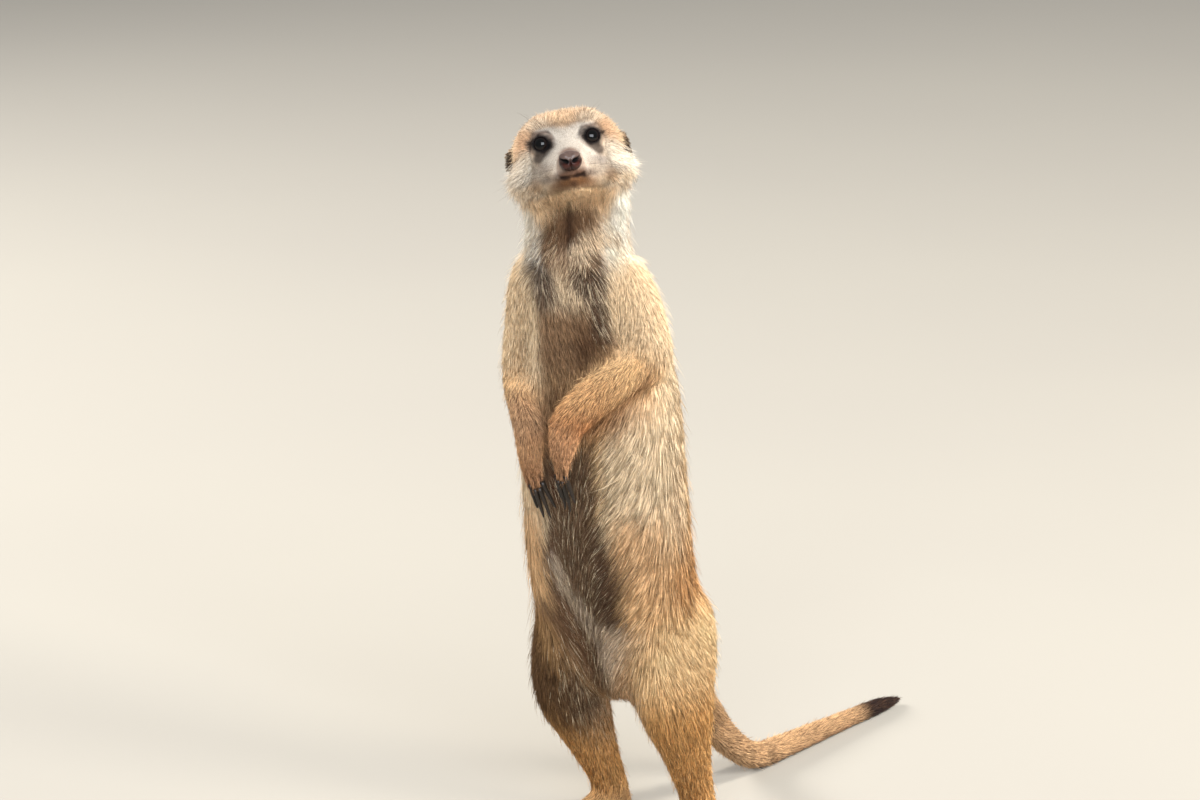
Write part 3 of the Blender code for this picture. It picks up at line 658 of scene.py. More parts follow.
    # ears: fawn about, brown within
    rim = np.hypot((y - EAR_MID[1]) / 6.4, (z - EAR_MID[2]) / 7.2)
    beside = ease(x, 15.5, 17.5) * head
    both((222, 196, 162), (150, 116, 88), beside * ease(rim, 1.6, 1.3))
    both((132, 105, 84), (78, 60, 48), beside * ease(rim + 0.25 * fine, 1.15, 0.8) * 0.9)
    both((76, 59, 48), (46, 35, 30), beside * ease(rim + 0.35 * fine, 0.8, 0.4) * 0.9)
    set_share(pale, 0.28, beside * ease(rim, 1.4, 1.2))
    # painted shade: the near upper arm's outer side, which the lamps light most, is darkened
    over *= 1 - 0.12 * (upper_arm * ease(turn, 60, 95))[:, None]
    cheek_shade = 0.16 * upper * ease(h[:, 0], 14, 19) * ease(z, 3, -3)
    over *= 1 + (0.08 * mottle + 0.07 * fine * upper - cheek_shade)[:, None]
    return np.clip(over, 0, 1), np.clip(under, 0, 1), np.clip(dark, 0, 0.95), np.clip(pale, 0, 1)


def set_colour(mesh, name, values):
    opaque = np.column_stack([values, np.ones(len(values))]).astype(np.float32)
    mesh.color_attributes.new(name, "FLOAT_COLOR", "POINT").data.foreach_set("color", opaque.ravel())


over, under, dark, pale = markings(co, share)
set_colour(mesh, "coat", over * 0.25 + under * 0.45)

# ---------------------------------------------------------------- skin's finish
# Hide with its close under-fur: matt, a little darker than the hairs over it, with a fine nap. It carries the
# coat's own markings, so that it doesn't show as a gap between the tufts.


def new_finish(name):
    material = bpy.data.materials.new(name)
    material.use_nodes = True
    return material, material.node_tree, material.node_tree.nodes["Principled BSDF"]


def fill(tree, target, inputs):
    """Each of a node's inputs is given a plain value, or joined to another node's output."""
    for name, value in inputs.items():
        if isinstance(value, bpy.types.NodeSocket):
            tree.links.new(value, target.inputs[name])
        else:
            target.inputs[name].default_value = value


def new_node(tree, kind, inputs, **settings):
    made = tree.nodes.new("ShaderNode" + kind)
    for name, value in settings.items():
        setattr(made, name, value)
    fill(tree, made, inputs)
    return made.outputs


def noise(tree, scale, detail=3.0, stretch=(1, 1, 1)):
    place = new_node(tree, "TexCoord", {})["Object"]
    place = new_node(tree, "Mapping", {"Vector": place, "Scale": stretch})["Vector"]
    return new_node(tree, "TexNoise", {"Vector": place, "Scale": scale, "Detail": detail})["Fac"]


def span(tree, source, low, high):
    """The source's value carried from 0-1 to low-high."""
    return new_node(tree, "MapRange", {"Value": source, "To Min": low, "To Max": high})["Result"]


def tinted(tree, colour, strength):
    """A colour multiplied by a grey value."""
    inputs = {"Factor": 1, "A": colour, "B": strength}
    return new_node(tree, "Mix", inputs, data_type="RGBA", blend_type="MULTIPLY")["Result"]


def bump(tree, height, strength, distance):
    return new_node(tree, "Bump", {"Height": height, "Strength": strength, "Distance": distance})["Normal"]


def painted(tree):
    """The colour laid on the piece's points."""
    return new_node(tree, "Attribute", {}, attribute_name="coat")["Color"]


hide, tree, shader = new_finish("hide_and_under_fur")
nap = noise(tree, 900, 4, (1, 1, 0.35))
blotch = noise(tree, 120)
napped = tinted(tree, painted(tree), span(tree, nap, 0.6, 1.4))
fill(tree, shader, {
    "Base Color": tinted(tree, napped, span(tree, blotch, 0.85, 1.15)),
    "Roughness": span(tree, nap, 0.65, 0.9),
    "Specular IOR Level": 0.1,
    "Normal": bump(tree, nap, 0.8, 0.0006),
})
mesh.materials.append(hide)
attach(skin, "root")
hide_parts(*[name for name in FLESH if not name.startswith(("eye", "nose"))])

# ---------------------------------------------------------------- coat
# Fur in tufts: each is a thin tapering lock rooted in the skin, lying with the coat and bending down over its
# neighbours. Tufts in a clump lean to a common tip. Long ones have a bend and short ones are plain spikes.
LIE = {  # which way the coat runs on each part, x to its left, y to the back, z up
    "neck": (0, 0.05, -1), "trunk": (0, 0, -1), "upper_arm": (0, -0.15, -1), "thigh": (0, 0.42, -1),
    "shin": (0, 0.30, -1), "foot": (0, -1, -0.25), "tail_1": (0, 0.7, -0.72), "tail_2": (0.03, 1, -0.2),
    "tail_3": (0.06, 1, 0), "tail_4": (0.07, 1, 0),
}
PELT = {  # length, width, lift in degrees, hairs per square millimetre, clumping
    "neck": (9, 0.24, 27, 3.8, 0.25), "trunk": (10.5, 0.28, 21, 2.9, 0.32), "head": (4, 0.19, 24, 7, 0.15),
    "ear": (2.8, 0.22, 34, 9, 0.4), "eye": (0.9, 0.12, 20, 9, 0), "nose": (1, 0.15, 14, 9, 0),
    "upper_arm": (8, 0.26, 21, 3.5, 0.25), "forearm": (6, 0.24, 21, 4.2, 0.2), "hand": (3.4, 0.2, 22, 7, 0.1),
    "thigh": (10.5, 0.28, 20, 2.9, 0.36), "shin": (7.5, 0.27, 20, 2.5, 0.28),
    "foot": (3.1, 0.22, 24, 4.2, 0.2), "tail_1": (8, 0.29, 18, 2.4, 0.25), "tail_2": (6, 0.28, 17, 2.4, 0.2),
    "tail_3": (5, 0.27, 16, 2.6, 0.2), "tail_4": (5, 0.27, 16, 3, 0.2),
}
rng = np.random.default_rng(20)

normals = normals_of(mesh)
lie = np.zeros_like(co)
for name, way in LIE.items():
    lie += owned(share, name)[:, None] * unit(np.array(way))
for side, s in (("left", 1), ("right", -1)):
    way = unit(np.array(middle("hand_" + side) - middle("forearm_" + side)) + (0, 0, -0.004))
    for name, run in (("forearm", way), ("hand", np.array((0, 0, -1.0)))):
        lie += owned(share, name)[:, None] * run * (co[:, [0]] * s > 0)

# on the trunk the coat sweeps round to the belly, and round the two whorls at the shoulders it spreads out
height, turn = body_place(co)
torso = owned(share, "trunk", "neck")
away = np.abs(turn)
around = np.radians(turn + np.interp(height, *zip(*TWIST)))
round_way = np.stack([np.cos(around), np.sin(around), np.zeros(len(co))], axis=1)
sweep = -np.sign(turn) * ease(away, 8, 24) * ease(away, 84, 50) * ease(height, 198, 180)
crossing = ease(away, 75, 50) * ease(height, 196, 204) * ease(height, 244, 232)
lie += round_way * ((sweep * 0.8 + crossing * 0.55) * torso)[:, None]
throat = owned(share, "neck") * ease(away, 80, 40)
lie += round_way * (np.sign(turn) * ease(away, 2, 14) * 0.55 * throat)[:, None]
WHORL_OUT = 0.021  # from the body's middle line to the skin at the shoulder
for side, level, reach, pull in ((-40, 240 * MM, 14, 0.7), (22, 243 * MM, 14, 0.5)):
    x, y = (np.interp(level, LEVELS, spine[:, k]) for k in (0, 1))
    bearing = math.radians(side + 14)
    whorl = np.array([x + math.sin(bearing) * WHORL_OUT, y - math.cos(bearing) * WHORL_OUT, level])
    near = ease(np.linalg.norm(co - whorl, axis=1) / MM, reach, 4) * torso * pull
    lie = lie * (1 - near)[:, None] + (unit(co - whorl) + (0, 0, -0.25)) * near[:, None]

# on the head it runs back from the nose over the brow, and out and down over the cheeks to the neck
h = to_head(co)
head_all = owned(share, "head", "ear", "eye", "nose")
x, y, z = np.abs(h[:, 0]), h[:, 1], h[:, 2]
flip = np.sign(h[:, 0])
jaw = ease(z, 2, -10) * ease(x, 6, 13)
beneath = ease(z, -15, -20)
head_lie = np.stack([
    flip * (0.30 * ease(x, 3, 12) + 0.7 * jaw * ease(y, 16, 0)),
    1.0 - 0.75 * jaw - 0.55 * beneath,
    0.40 * ease(z, 0, 6) * ease(y, 6, 0) - 1.3 * jaw - 1.2 * beneath,
], axis=1)
lie = lie * (1 - head_all)[:, None] + unit(head_lie) @ HEAD_AXES * head_all[:, None]
lie = averaged(unit(lie), edges, 8)
lie = unit(lie - normals * (lie * normals).sum(axis=1, keepdims=True))

pelt = share @ np.array([PELT[name] for name in PARTS])
long, wide, rise, thick, clump = pelt.T
cheek = ease(x, 11, 17) * ease(z, 4, -5) * ease(y, -6, 3)
front = ease(y, 3, -8)
ear_gap = np.hypot(y - EAR_MID[1], z - EAR_MID[2]) + 2 * np.maximum(18 - x, 0)
lower_jaw = ease(z, -18, -21)
long += head_all * (4.2 * cheek * ease(ear_gap, 7, 11) - 2.3 * front + 6.0 * lower_jaw)
long *= 1 - 0.4 * head_all * ease(ear_gap, 10, 7)
wide -= head_all * 0.03 * front
rise += head_all * (22 * cheek - 4 * front + 16 * lower_jaw)
thick += head_all * (3.5 * front - 1.4 * cheek)
clump += head_all * 0.36 * cheek
flank = ease(away, 30, 46) * ease(away, 112, 92) * torso * ease(height, 200, 184)
belly = ease(away, 44, 26) * torso * ease(height, 200, 180)
back = ease(away, 100, 130) * torso
breast = ease(away, 80, 55) * torso * ease(height, 196, 210)
long += 6.5 * flank - 1.0 * back - 2.2 * breast + 1.0 * belly
wide += 0.05 * flank
rise += -6 * flank - 3 * back + 3 * belly + 4 * breast
thick += 0.5 * breast - 0.5 * belly
clump += 0.2 * flank - 0.1 * breast
long_locked = np.clip(flank + 0.8 * owned(share, "thigh") + 0.4 * back, 0, 1)
# to the pelt are added how stiff it is, and how much longer its long hairs are
pelt = averaged(np.column_stack([pelt, head_all * cheek, long_locked]), edges, 6)
long, thick = pelt[:, 0], pelt[:, 3]
np.maximum(long, 0.8, out=long)
eyes_gap = np.full(len(h), 99.0)
for centre, out, across, up in (eye_frame(1), eye_frame(-1)):
    v = h - centre
    eyes_gap = np.minimum(eyes_gap, np.hypot(v @ across / LID_WIDE, v @ up / LID_HIGH) + 9 * (v @ out < 0))
headed = head_all > 0.5
thick *= np.where(headed & (eyes_gap < 1.22), 0, 1)
long *= np.where(headed, 0.4 + 0.6 * ease(eyes_gap, 1.25, 2.2), 1)
nose_gap = np.linalg.norm(h - nose_centre, axis=1)
thick *= np.where(headed, ease(nose_gap, 3.0, 3.8), 1)
long *= np.where(headed, 0.6 + 0.4 * ease(nose_gap, 4.5, 9), 1)
mouth_gap, mouth_along = mouth_place(h)
thick *= np.where(headed & (mouth_along < 0.97), 0.5 + 0.5 * ease(mouth_gap, 0.2, 0.7), 1)
thick *= ease(co[:, 2] / MM, 0.3, 1.2)

mesh.calc_loop_triangles()
triangles, loops = (read(mesh.loop_triangles, what, 3, np.int32) for what in ("vertices", "loops"))
uv = read(mesh.uv_layers["OFBake"].data, "uv", 2)
a, b, c = co[triangles[:, 0]], co[triangles[:, 1]], co[triangles[:, 2]]
area = np.linalg.norm(np.cross(b - a, c - a), axis=1) / 2 / MM**2
triangle_part = part[triangles[:, 0]]


def sown(thinness):
    """Roots spread over the skin as thickly as the pelt says, times thinness."""
    chance = area * pelt[triangles, 3].mean(axis=1) * thinness
    total = int(chance.sum())
    place = (np.arange(total) + rng.random(total)) / total * chance.sum()
    chosen = np.minimum(np.searchsorted(np.cumsum(chance), place), len(triangles) - 1)
    u, v = rng.random(total), rng.random(total)
    fold = u + v > 1
    u[fold], v[fold] = 1 - u[fold], 1 - v[fold]
    weights = np.stack([1 - u - v, u, v], axis=1)

    def at(values):
        return (values[triangles[chosen]] * weights[:, :, None]).sum(axis=1)

    return {
        "root": at(co), "normal": unit(at(normals)), "lie": unit(at(lie)), "pelt": at(pelt),
        "uv": (uv[loops[chosen]] * weights[:, :, None]).sum(axis=1), "part": triangle_part[chosen],
        "share": at(share), "depth": at(depth),
    }


def leaned(hairs, yaw, lift_spread):
    """Each hair's way along the skin and its lift, with some hairs out of true."""
    count = len(hairs["root"])
    across = np.cross(hairs["normal"], hairs["lie"])
    swing = np.radians(rng.normal(0, yaw, count))[:, None]
    way = hairs["lie"] * np.cos(swing) + across * np.sin(swing)
    lift = np.radians(np.clip(hairs["pelt"][:, 2] + rng.normal(0, lift_spread, count), 3, 70))
    return way, lift


hairs = sown(1.0)


def gathering(thinness, yaw):
    """Tips that hairs lean to: one for each lock, and which lock each hair is in."""
    locks = sown(thinness)
    way, lift = leaned(locks, yaw, 5)
    length = locks["pelt"][:, 0] * (0.85 + 0.3 * rng.random(len(way))) * MM
    tips = locks["root"] + length[:, None] * (
        way * np.cos(lift * 0.75)[:, None] + locks["normal"] * np.sin(lift * 0.75)[:, None]
    )
    finder = KDTree(len(tips))
    for i, place in enumerate(locks["root"]):
        finder.insert(place, i)
    finder.balance()
    nearest = np.array([finder.find(place)[1] for place in hairs["root"]])
    return tips[nearest], (rng.random(len(tips)) ** 0.7)[nearest]


small_lock, lock_shade = gathering(0.07, 12)
big_lock, tuft_shade = gathering(0.012, 9)
count = len(hairs["root"])
way, lift = leaned(hairs, 8, 5)
guard = rng.random(count) < 0.20
furry = owned(hairs["share"], "head", "neck", "upper_arm")
stray = rng.random(count) < 0.055 + 0.05 * furry
lift = np.where(stray, lift + 0.3 * rng.random(count) + 0.1, lift)
hair_long, hair_wide, _, _, clumping, stiff, long_locked = hairs["pelt"].T
length = hair_long * (0.72 + 0.5 * rng.random(count)) * np.where(guard, 1.08 + 0.35 * long_locked, 0.86) * MM
length *= np.where(stray, 1.15, 1)
width = hair_wide * (0.75 + 0.5 * rng.random(count)) * np.where(stray, 0.6, 1) * MM
out = hairs["normal"]
root = hairs["root"] - out * 0.3 * MM


def half_hair(start, angle):
    return start + (length * 0.5)[:, None] * (way * np.cos(angle)[:, None] + out * np.sin(angle)[:, None])


bend = half_hair(root, lift * 1.35)
tip = half_hair(bend, lift * (0.35 + 0.45 * stiff))
clumping = clumping[:, None]
pull = clumping * (0.7 + 0.6 * rng.random((count, 1))) * ~stray[:, None]
gather = (small_lock - tip) * pull
gather += (big_lock - tip) * pull * 0.45 * (clumping > 0.4)
gather -= out * np.minimum((gather * out).sum(axis=1, keepdims=True), 0) * 0.6
tip = tip + gather
bend = bend + gather * 0.3
skin_tree = BVHTree.FromPolygons(co.tolist(), triangles.tolist())
COMBED = 3.0  # hairs longer than this are laid to the body's shape
combed = hair_long > COMBED


def settled(points, low, high):
    """Points raised or pressed down to between low and high above the skin nearest them."""
    found = [skin_tree.find_nearest(point)[:2] for point in points[combed].tolist()]
    near, out = (np.array([hit[k][:] for hit in found]) for k in (0, 1))
    above = ((points[combed] - near) * out).sum(axis=1)
    points[combed] += out * (np.clip(above, low * MM, high[combed] * MM) - above)[:, None]
    return points


coat_deep = hairs["depth"][:, 0] + SKIN_SWELL / MM
top = coat_deep * (0.45 + (0.65 + 0.4 * stiff) * rng.random(count))
top += np.where(stray, 0.65 * coat_deep + 0.7, 0)
bend, tip = settled(bend, 0.2, 0.8 * top), settled(tip, 0.3, top)
for line in (bend, tip):
    line[:, 2] = np.maximum(line[:, 2], 0.3 * MM)

along = 0.1 + 0.45 * owned(hairs["share"], "head", "eye", "nose", "ear")[:, None]
over, under, dark, pale = markings(root + (tip - root) * along, hairs["share"])
luck = rng.random(count)
is_dark = (luck < dark)[:, None]
is_pale = (luck > 1 - pale)[:, None]
BRIGHTEST = 0.90
GAIN = 0.45  # long hairs shade each other, so each is brighter than the coat is to look at
shade = (1 + GAIN * ease(hair_long[:, None], 2.5, 6)) * (0.80 + 0.34 * rng.random((count, 1)))
shade *= (0.72 + 0.32 * lock_shade + 0.14 * tuft_shade)[:, None]
over = np.where(is_pale, over * 0.35 + CREAM * 0.6, over)
tip_colour = np.where(is_dark, UMBER * 0.5 + under * 0.25, over) * shade
bend_colour = np.where(is_dark, over * 0.4 + UMBER * 0.4, over * 0.80 + under * 0.15) * shade
# roots: the undercoat's own colour, halved as painted shade in the gaps between the tufts
root_colour = under * shade * 0.5
for colour in (tip_colour, bend_colour, root_colour):
    colour *= np.minimum(1, BRIGHTEST / colour.max(axis=1, keepdims=True))
PATCH = 0.003
SPIKE_BELOW = 3.2  # hairs shorter than this have no bend


def ring_of(centre, axis, normal, radius):
    """Three points round the lock, square to its run."""
    side = unit(np.cross(axis, normal))
    high = np.cross(side, axis)
    turns = [math.radians(d) for d in (90, 210, 330)]
    ways = [side * math.cos(t) + high * math.sin(t) * 0.75 for t in turns]
    return np.stack([centre + way * radius[:, None] for way in ways], axis=1)


def along_arc(start, turned, end, t):
    """The place so far along a bent lock, and the way that it runs there."""
    centre = start * (1 - t) ** 2 + turned * 2 * t * (1 - t) + end * t**2
    return centre, unit((turned - start) * (1 - t) + (end - turned) * t)


def tuft_mesh(name, chosen, rings):
    """All these tufts as one mesh of closed three-sided locks. Each ring is its place along the lock and its
    width; a lock whose first ring is at its root is capped there, and any other starts from a point."""
    start, turned, end = root[chosen], bend[chosen], tip[chosen]
    normal, w = hairs["normal"][chosen], width[chosen] / 2
    low, mid, high = root_colour[chosen], bend_colour[chosen], tip_colour[chosen]
    capped = rings[0][0] == 0
    points, colours = ([], []) if capped else ([start[:, None]], [low[:, None]])
    for t, breadth in rings:
        centre, axis = along_arc(start, turned, end, t)
        points.append(ring_of(centre, axis, normal, w * breadth))
        near_root, near_tip = max(0, 1 - t / 0.4), max(0, (t - 0.4) / 0.6)
        blend = low * near_root + mid * (1 - near_root - near_tip) + high * near_tip
        colours.append(np.repeat(blend[:, None], 3, axis=1))
    points = np.concatenate([*points, end[:, None]], axis=1)
    colours = np.concatenate([*colours, high[:, None]], axis=1)
    count, per = points.shape[:2]
    first = per - 1 - 3 * len(rings)
    # each corner of each face: which point it is, how far round the lock and how far along it. The rings run
    # clockwise about the lock, and the corners are in the order that turns every face outwards.
    corners = [((0, 0.2, 0), (1, 0.5, 0), (2, 0.8, 0))] if capped else []
    for k in range(3):
        j, u, v = (k + 1) % 3, k / 3, (k + 1) / 3
        strip = [((first + 3 * r + k, u, t), (first + 3 * r + j, v, t)) for r, (t, _) in enumerate(rings)]
        if not capped:
            corners.append(((0, (u + v) / 2, 0), strip[0][0], strip[0][1]))
        for (a, b), (c, d) in zip(strip, strip[1:]):
            corners += [(a, d, b), (a, c, d)]
        corners.append((strip[-1][1], strip[-1][0], (per - 1, (u + v) / 2, 1)))
    corners = np.array(corners)
    index = (corners[None, :, :, 0] + np.arange(count)[:, None, None] * per).reshape(-1)
    made = bpy.data.meshes.new(name)
    made.vertices.add(count * per)
    set_points(made, points)
    made.loops.add(len(index))
    made.loops.foreach_set("vertex_index", index.astype(np.int32))
    made.polygons.add(count * len(corners))
    made.polygons.foreach_set("loop_start", np.arange(0, len(index), 3, dtype=np.int32))
    made.update(calc_edges=True)
    places = hairs["uv"][chosen][:, None, None, :] + (corners[:, :, 1:] - 0.5)[None] * PATCH
    made.uv_layers.new(name="OFBake").data.foreach_set("uv", np.clip(places, 0, 1).astype(np.float32).ravel())
    set_colour(made, "coat", colours.reshape(-1, 3))
    made.shade_smooth()
    made.materials.append(fur)
    piece = bpy.data.objects.new(name, made)
    bpy.context.scene.collection.objects.link(piece)
    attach(piece, "root")


fur, tree, shader = new_finish("guard_hair")
fill(tree, shader, {
    "Base Color": tinted(tree, painted(tree), span(tree, noise(tree, 700, 2), 0.75, 1.25)),
    "Roughness": 0.55,
    "Specular IOR Level": 0.12,
})


def rooted(*names):
    return np.isin(hairs["part"], [PARTS.index(name) for name in names])


height, turn = body_place(hairs["root"])
away = np.abs(turn)
high_up, on_left = height >= 190, hairs["root"][:, 0] > 0
trunk, arm, thigh = rooted("trunk"), rooted("upper_arm", "forearm", "hand"), rooted("thigh")
pieces = {
    "coat_head": rooted("head", "ear", "eye", "nose"),
    "coat_neck": rooted("neck"),
    "coat_breast": trunk & (away < 90) & high_up,
    "coat_belly": trunk & (away < 45) & ~high_up,
    "coat_flank_left": trunk & (turn >= 45) & (turn < 110) & ~high_up,
    "coat_flank_right": trunk & (turn <= -45) & (turn > -110) & ~high_up,
    "coat_shoulders": trunk & (away >= 90) & high_up,
    "coat_back": trunk & (away >= 110) & ~high_up,
    "coat_arm_left": arm & on_left,
    "coat_arm_right": arm & ~on_left,
    "coat_thigh_left": thigh & on_left,
    "coat_thigh_right": thigh & ~on_left,
    "coat_shins": rooted("shin", "foot"),
    "coat_tail": rooted("tail_1", "tail_2", "tail_3", "tail_4"),
}
short = hair_long < SPIKE_BELOW
kinds = (
    ("fine", short, ((0, 1.0),)),
    ("wool", ~short & ~guard, ((0.36, 1.0),)),
    ("guard", ~short & guard, ((0.28, 1.0), (0.66, 0.72))),
)
for name, chosen in pieces.items():
    for kind, of_kind, rings in kinds:
        if (chosen & of_kind).any():
            tuft_mesh(f"{name}_{kind}", chosen & of_kind, rings)

# ---------------------------------------------------------------- eyes
# Wet dark eyes: a ball with a bulging clear front, a near-black iris of dark brown and a round pupil.
# Each sits in its socket in the skin, and the lids close over its edge.
wet_eye, tree, shader = new_finish("wet_eye")
ramp = tree.nodes.new("ShaderNodeValToRGB")
stops = ramp.color_ramp.elements
stops[0].color = (0.002, 0.002, 0.002, 1)
stops[1].color = (0.012, 0.008, 0.007, 1)
for position, colour in ((0.38, (0.002, 0.002, 0.002, 1)), (0.44, (0.006, 0.003, 0.002, 1)),
                         (0.60, (0.004, 0.002, 0.002, 1)), (0.70, (0.002, 0.0015, 0.0015, 1))):
    stops.new(position).color = colour
fill(tree, ramp, {"Fac": new_node(tree, "Attribute", {}, attribute_name="off_axis")["Fac"]})
fill(tree, shader, {"Base Color": ramp.outputs["Color"], "Roughness": 0.03, "IOR": 1.33})


def finished(piece, material):
    """The piece's faces turned outwards and smoothed, and its material given."""
    edit_all(piece, bpy.ops.mesh.normals_make_consistent, inside=False)
    piece.data.shade_smooth()
    piece.data.materials.append(material)


def set_value(mesh, name, values):
    mesh.attributes.new(name, "FLOAT", "POINT").data.foreach_set("value", values.astype(np.float32))


for side, s in (("left", 1), ("right", -1)):
    centre, out, across, up = eye_frame(s)
    bpy.ops.mesh.primitive_uv_sphere_add(segments=48, ring_count=32, radius=1)
    ball = bpy.context.object
    ball.name = "eyeball_" + side
    local = points_of(ball.data)
    off_axis = np.degrees(np.arccos(np.clip(local[:, 2], -1, 1)))
    reach = EYE_RADIUS + 0.32 * ease(off_axis, 44, 14)  # the clear front bulges
    place = centre + (local[:, :1] * across + local[:, 1:2] * up + local[:, 2:] * out) * reach[:, None]
    set_points(ball.data, from_head(place))
    finished(ball, wet_eye)
    set_value(ball.data, "off_axis", off_axis / 60)
    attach(ball, "root")
    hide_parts("eye_" + side)

# ---------------------------------------------------------------- lid rims
# The bare wet edge of the lids, a thin dark roll of skin that closes on the ball all round.
# It follows the lids' opening and fills the step down to the ball.
RIM_STEPS, RIM_SIDES, RIM_RADIUS = 72, 10, 0.2


def hoop(centre, side, high, wide, deep, sides):
    """Points round a centre, so far out along each of two ways."""
    turns = [2 * math.pi * j / sides for j in range(sides)]
    return [centre + side * wide * math.cos(a) + high * deep * math.sin(a) for a in turns]


def new_piece(name, points, faces, material):
    made = bpy.data.meshes.new(name)
    made.from_pydata(np.array(points).tolist(), [], faces)
    piece = bpy.data.objects.new(name, made)
    bpy.context.scene.collection.objects.link(piece)
    finished(piece, material)
    return piece


def two_toned(name, grain, low, high, inputs):
    """A new finish between two colours by a grain, which is a noise's scale, detail and stretch."""
    material, tree, shader = new_finish(name)
    ramp = tree.nodes.new("ShaderNodeValToRGB")
    for stop, colour in zip(ramp.color_ramp.elements, (low, high)):
        stop.color = (*colour, 1)
    fill(tree, ramp, {"Fac": noise(tree, *grain)})
    fill(tree, shader, {"Base Color": ramp.outputs["Color"], **inputs})
    return material, tree, shader


gloss = {"Roughness": 0.5, "Specular IOR Level": 0.15}
lid_skin, _, _ = two_toned("wet_lid", (600,), (0.004, 0.003, 0.003), (0.012, 0.008, 0.008), gloss)
rim_points, rim_faces = [], []
for s in (1, -1):
    centre, out, across, up = eye_frame(s)
    base = len(rim_points)
    for k in range(RIM_STEPS):
        a = 2 * math.pi * k / RIM_STEPS
        flat_way = across * LID_WIDE * math.cos(a) + up * LID_HIGH * math.sin(a)
        ahead = math.sqrt((EYE_RADIUS + 0.22) ** 2 - flat_way @ flat_way)
        place = centre + flat_way * 0.985 + ahead * out
        rim_points += hoop(place, unit(flat_way), out, RIM_RADIUS, RIM_RADIUS, RIM_SIDES)
    for k in range(RIM_STEPS):
        for j in range(RIM_SIDES):
            low, high = base + k * RIM_SIDES, base + (k + 1) % RIM_STEPS * RIM_SIDES
            j2 = (j + 1) % RIM_SIDES
            rim_faces.append((low + j, high + j, high + j2, low + j2))
rims = new_piece("lid_rims", from_head(np.array(rim_points)), rim_faces, lid_skin)
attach(rims, "root")

# ---------------------------------------------------------------- nose
# Bare moist leather, grained, dark on top and reddish in front, with two comma-shaped nostrils and a parting.
# It is one firm pad, pressed from a ball and seated in the end of the muzzle.
# the lower lobes' pink is partly the leather's own and partly a painted highlight
CRUST, WET, LOBE_PINK_AND_GLINT = dye(84, 68, 62), dye(34, 13, 9), dye(100, 48, 38)
bpy.ops.mesh.primitive_uv_sphere_add(segments=96, ring_count=64, radius=1)
nose = bpy.context.object
nose.name = "nose_leather"
local = points_of(nose.data)
local = np.stack([local[:, 0], -local[:, 2], local[:, 1]], axis=1)
place = local * NOSE_RADII
x, z = np.abs(place[:, 0]), place[:, 2]
ahead = local[:, 1] < 0.2
nostril = np.maximum(
    ease(np.hypot((x - 1.9) / 1.25, (z + 0.3 - 0.25 * (x - 1.9)) / 1.0), 1.15, 0.55),
    0.9 * streak(x, z, (2.4, 0.0), (4.1, 1.0), 0.45, 0.6),
) * ahead
parting = ease(x, 0.5, 0.05) * ease(z, 0.9, -0.3) * ahead
wing = ease(np.hypot((x - 2.6) / 1.7, (z - 2.0) / 1.2), 1.3, 0.4) * ahead
lower = ease(np.hypot((x - 2.0) / 1.7, (z + 1.9) / 1.1), 1.3, 0.4) * ahead
red = ease(z, 1.0, -0.8) * ahead
place -= local * (nostril * 2.0 + parting * 0.5 - wing * 0.4 - lower * 0.3)[:, None]
set_points(nose.data, from_head(place + nose_centre))
leather, tree, shader = new_finish("nose_leather")
finished(nose, leather)
colour = CRUST + (WET - CRUST) * red[:, None]
# partly painted highlight: pink laid on the lower lobes
colour = colour + (LOBE_PINK_AND_GLINT - colour) * (0.2 * lower * (1 - parting))[:, None]
# painted shade: the nostrils are painted near black, as the shade deep in their openings
set_colour(nose.data, "coat", colour * (1 - 0.985 * np.clip(nostril * 2, 0, 1))[:, None])
set_value(nose.data, "hollow", np.clip(nostril * 1.6, 0, 1))
pebble = new_node(tree, "TexVoronoi", {"Vector": new_node(tree, "TexCoord", {})["Object"], "Scale": 2600})
fill(tree, shader, {
    "Base Color": tinted(tree, painted(tree), span(tree, noise(tree, 500), 0.75, 1.3)),
    "Roughness": span(tree, new_node(tree, "Attribute", {}, attribute_name="hollow")["Fac"], 0.30, 1.0),
    "Specular IOR Level": 0.3,
    "Normal": bump(tree, pebble["Distance"], 0.35, 0.0001),
})
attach(nose, "root")
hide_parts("nose")

# ---------------------------------------------------------------- claws
# Long curved digging claws of black horn, smooth and faintly streaked along their length. Each grows from the
# end of a toe, and the fore ones hang close together and are worn unevenly.
CLAW_RINGS, CLAW_SIDES, CLAW_RADIUS = 14, 12, 1.25 * MM
TIP_ASIDE = -0.7  # the fore claws' ends draw together, and are worn unevenly, in millimetres
TIP_BACK, TIP_UP = (-0.5, 0.4, -0.2, 0.7), (1.2, -0.7, 0.3, 2.4)


def add_spike(points, faces, hoops, end):
    """One spike: hoops joined each to the next, with a cap at the root and a point at the end."""
    base, sides = len(points), len(hoops[0])
    for ring in hoops:
        points += ring
    points.append(end)
    last = base + (len(hoops) - 1) * sides
    around = [(j, (j + 1) % sides) for j in range(sides)]
    for k in range(base, last, sides):
        faces += [(k + a, k + b, k + b + sides, k + a + sides) for a, b in around]
    faces += [(last + a, last + b, len(points) - 1) for a, b in around]
    faces.append(tuple(range(base + sides - 1, base - 1, -1)))


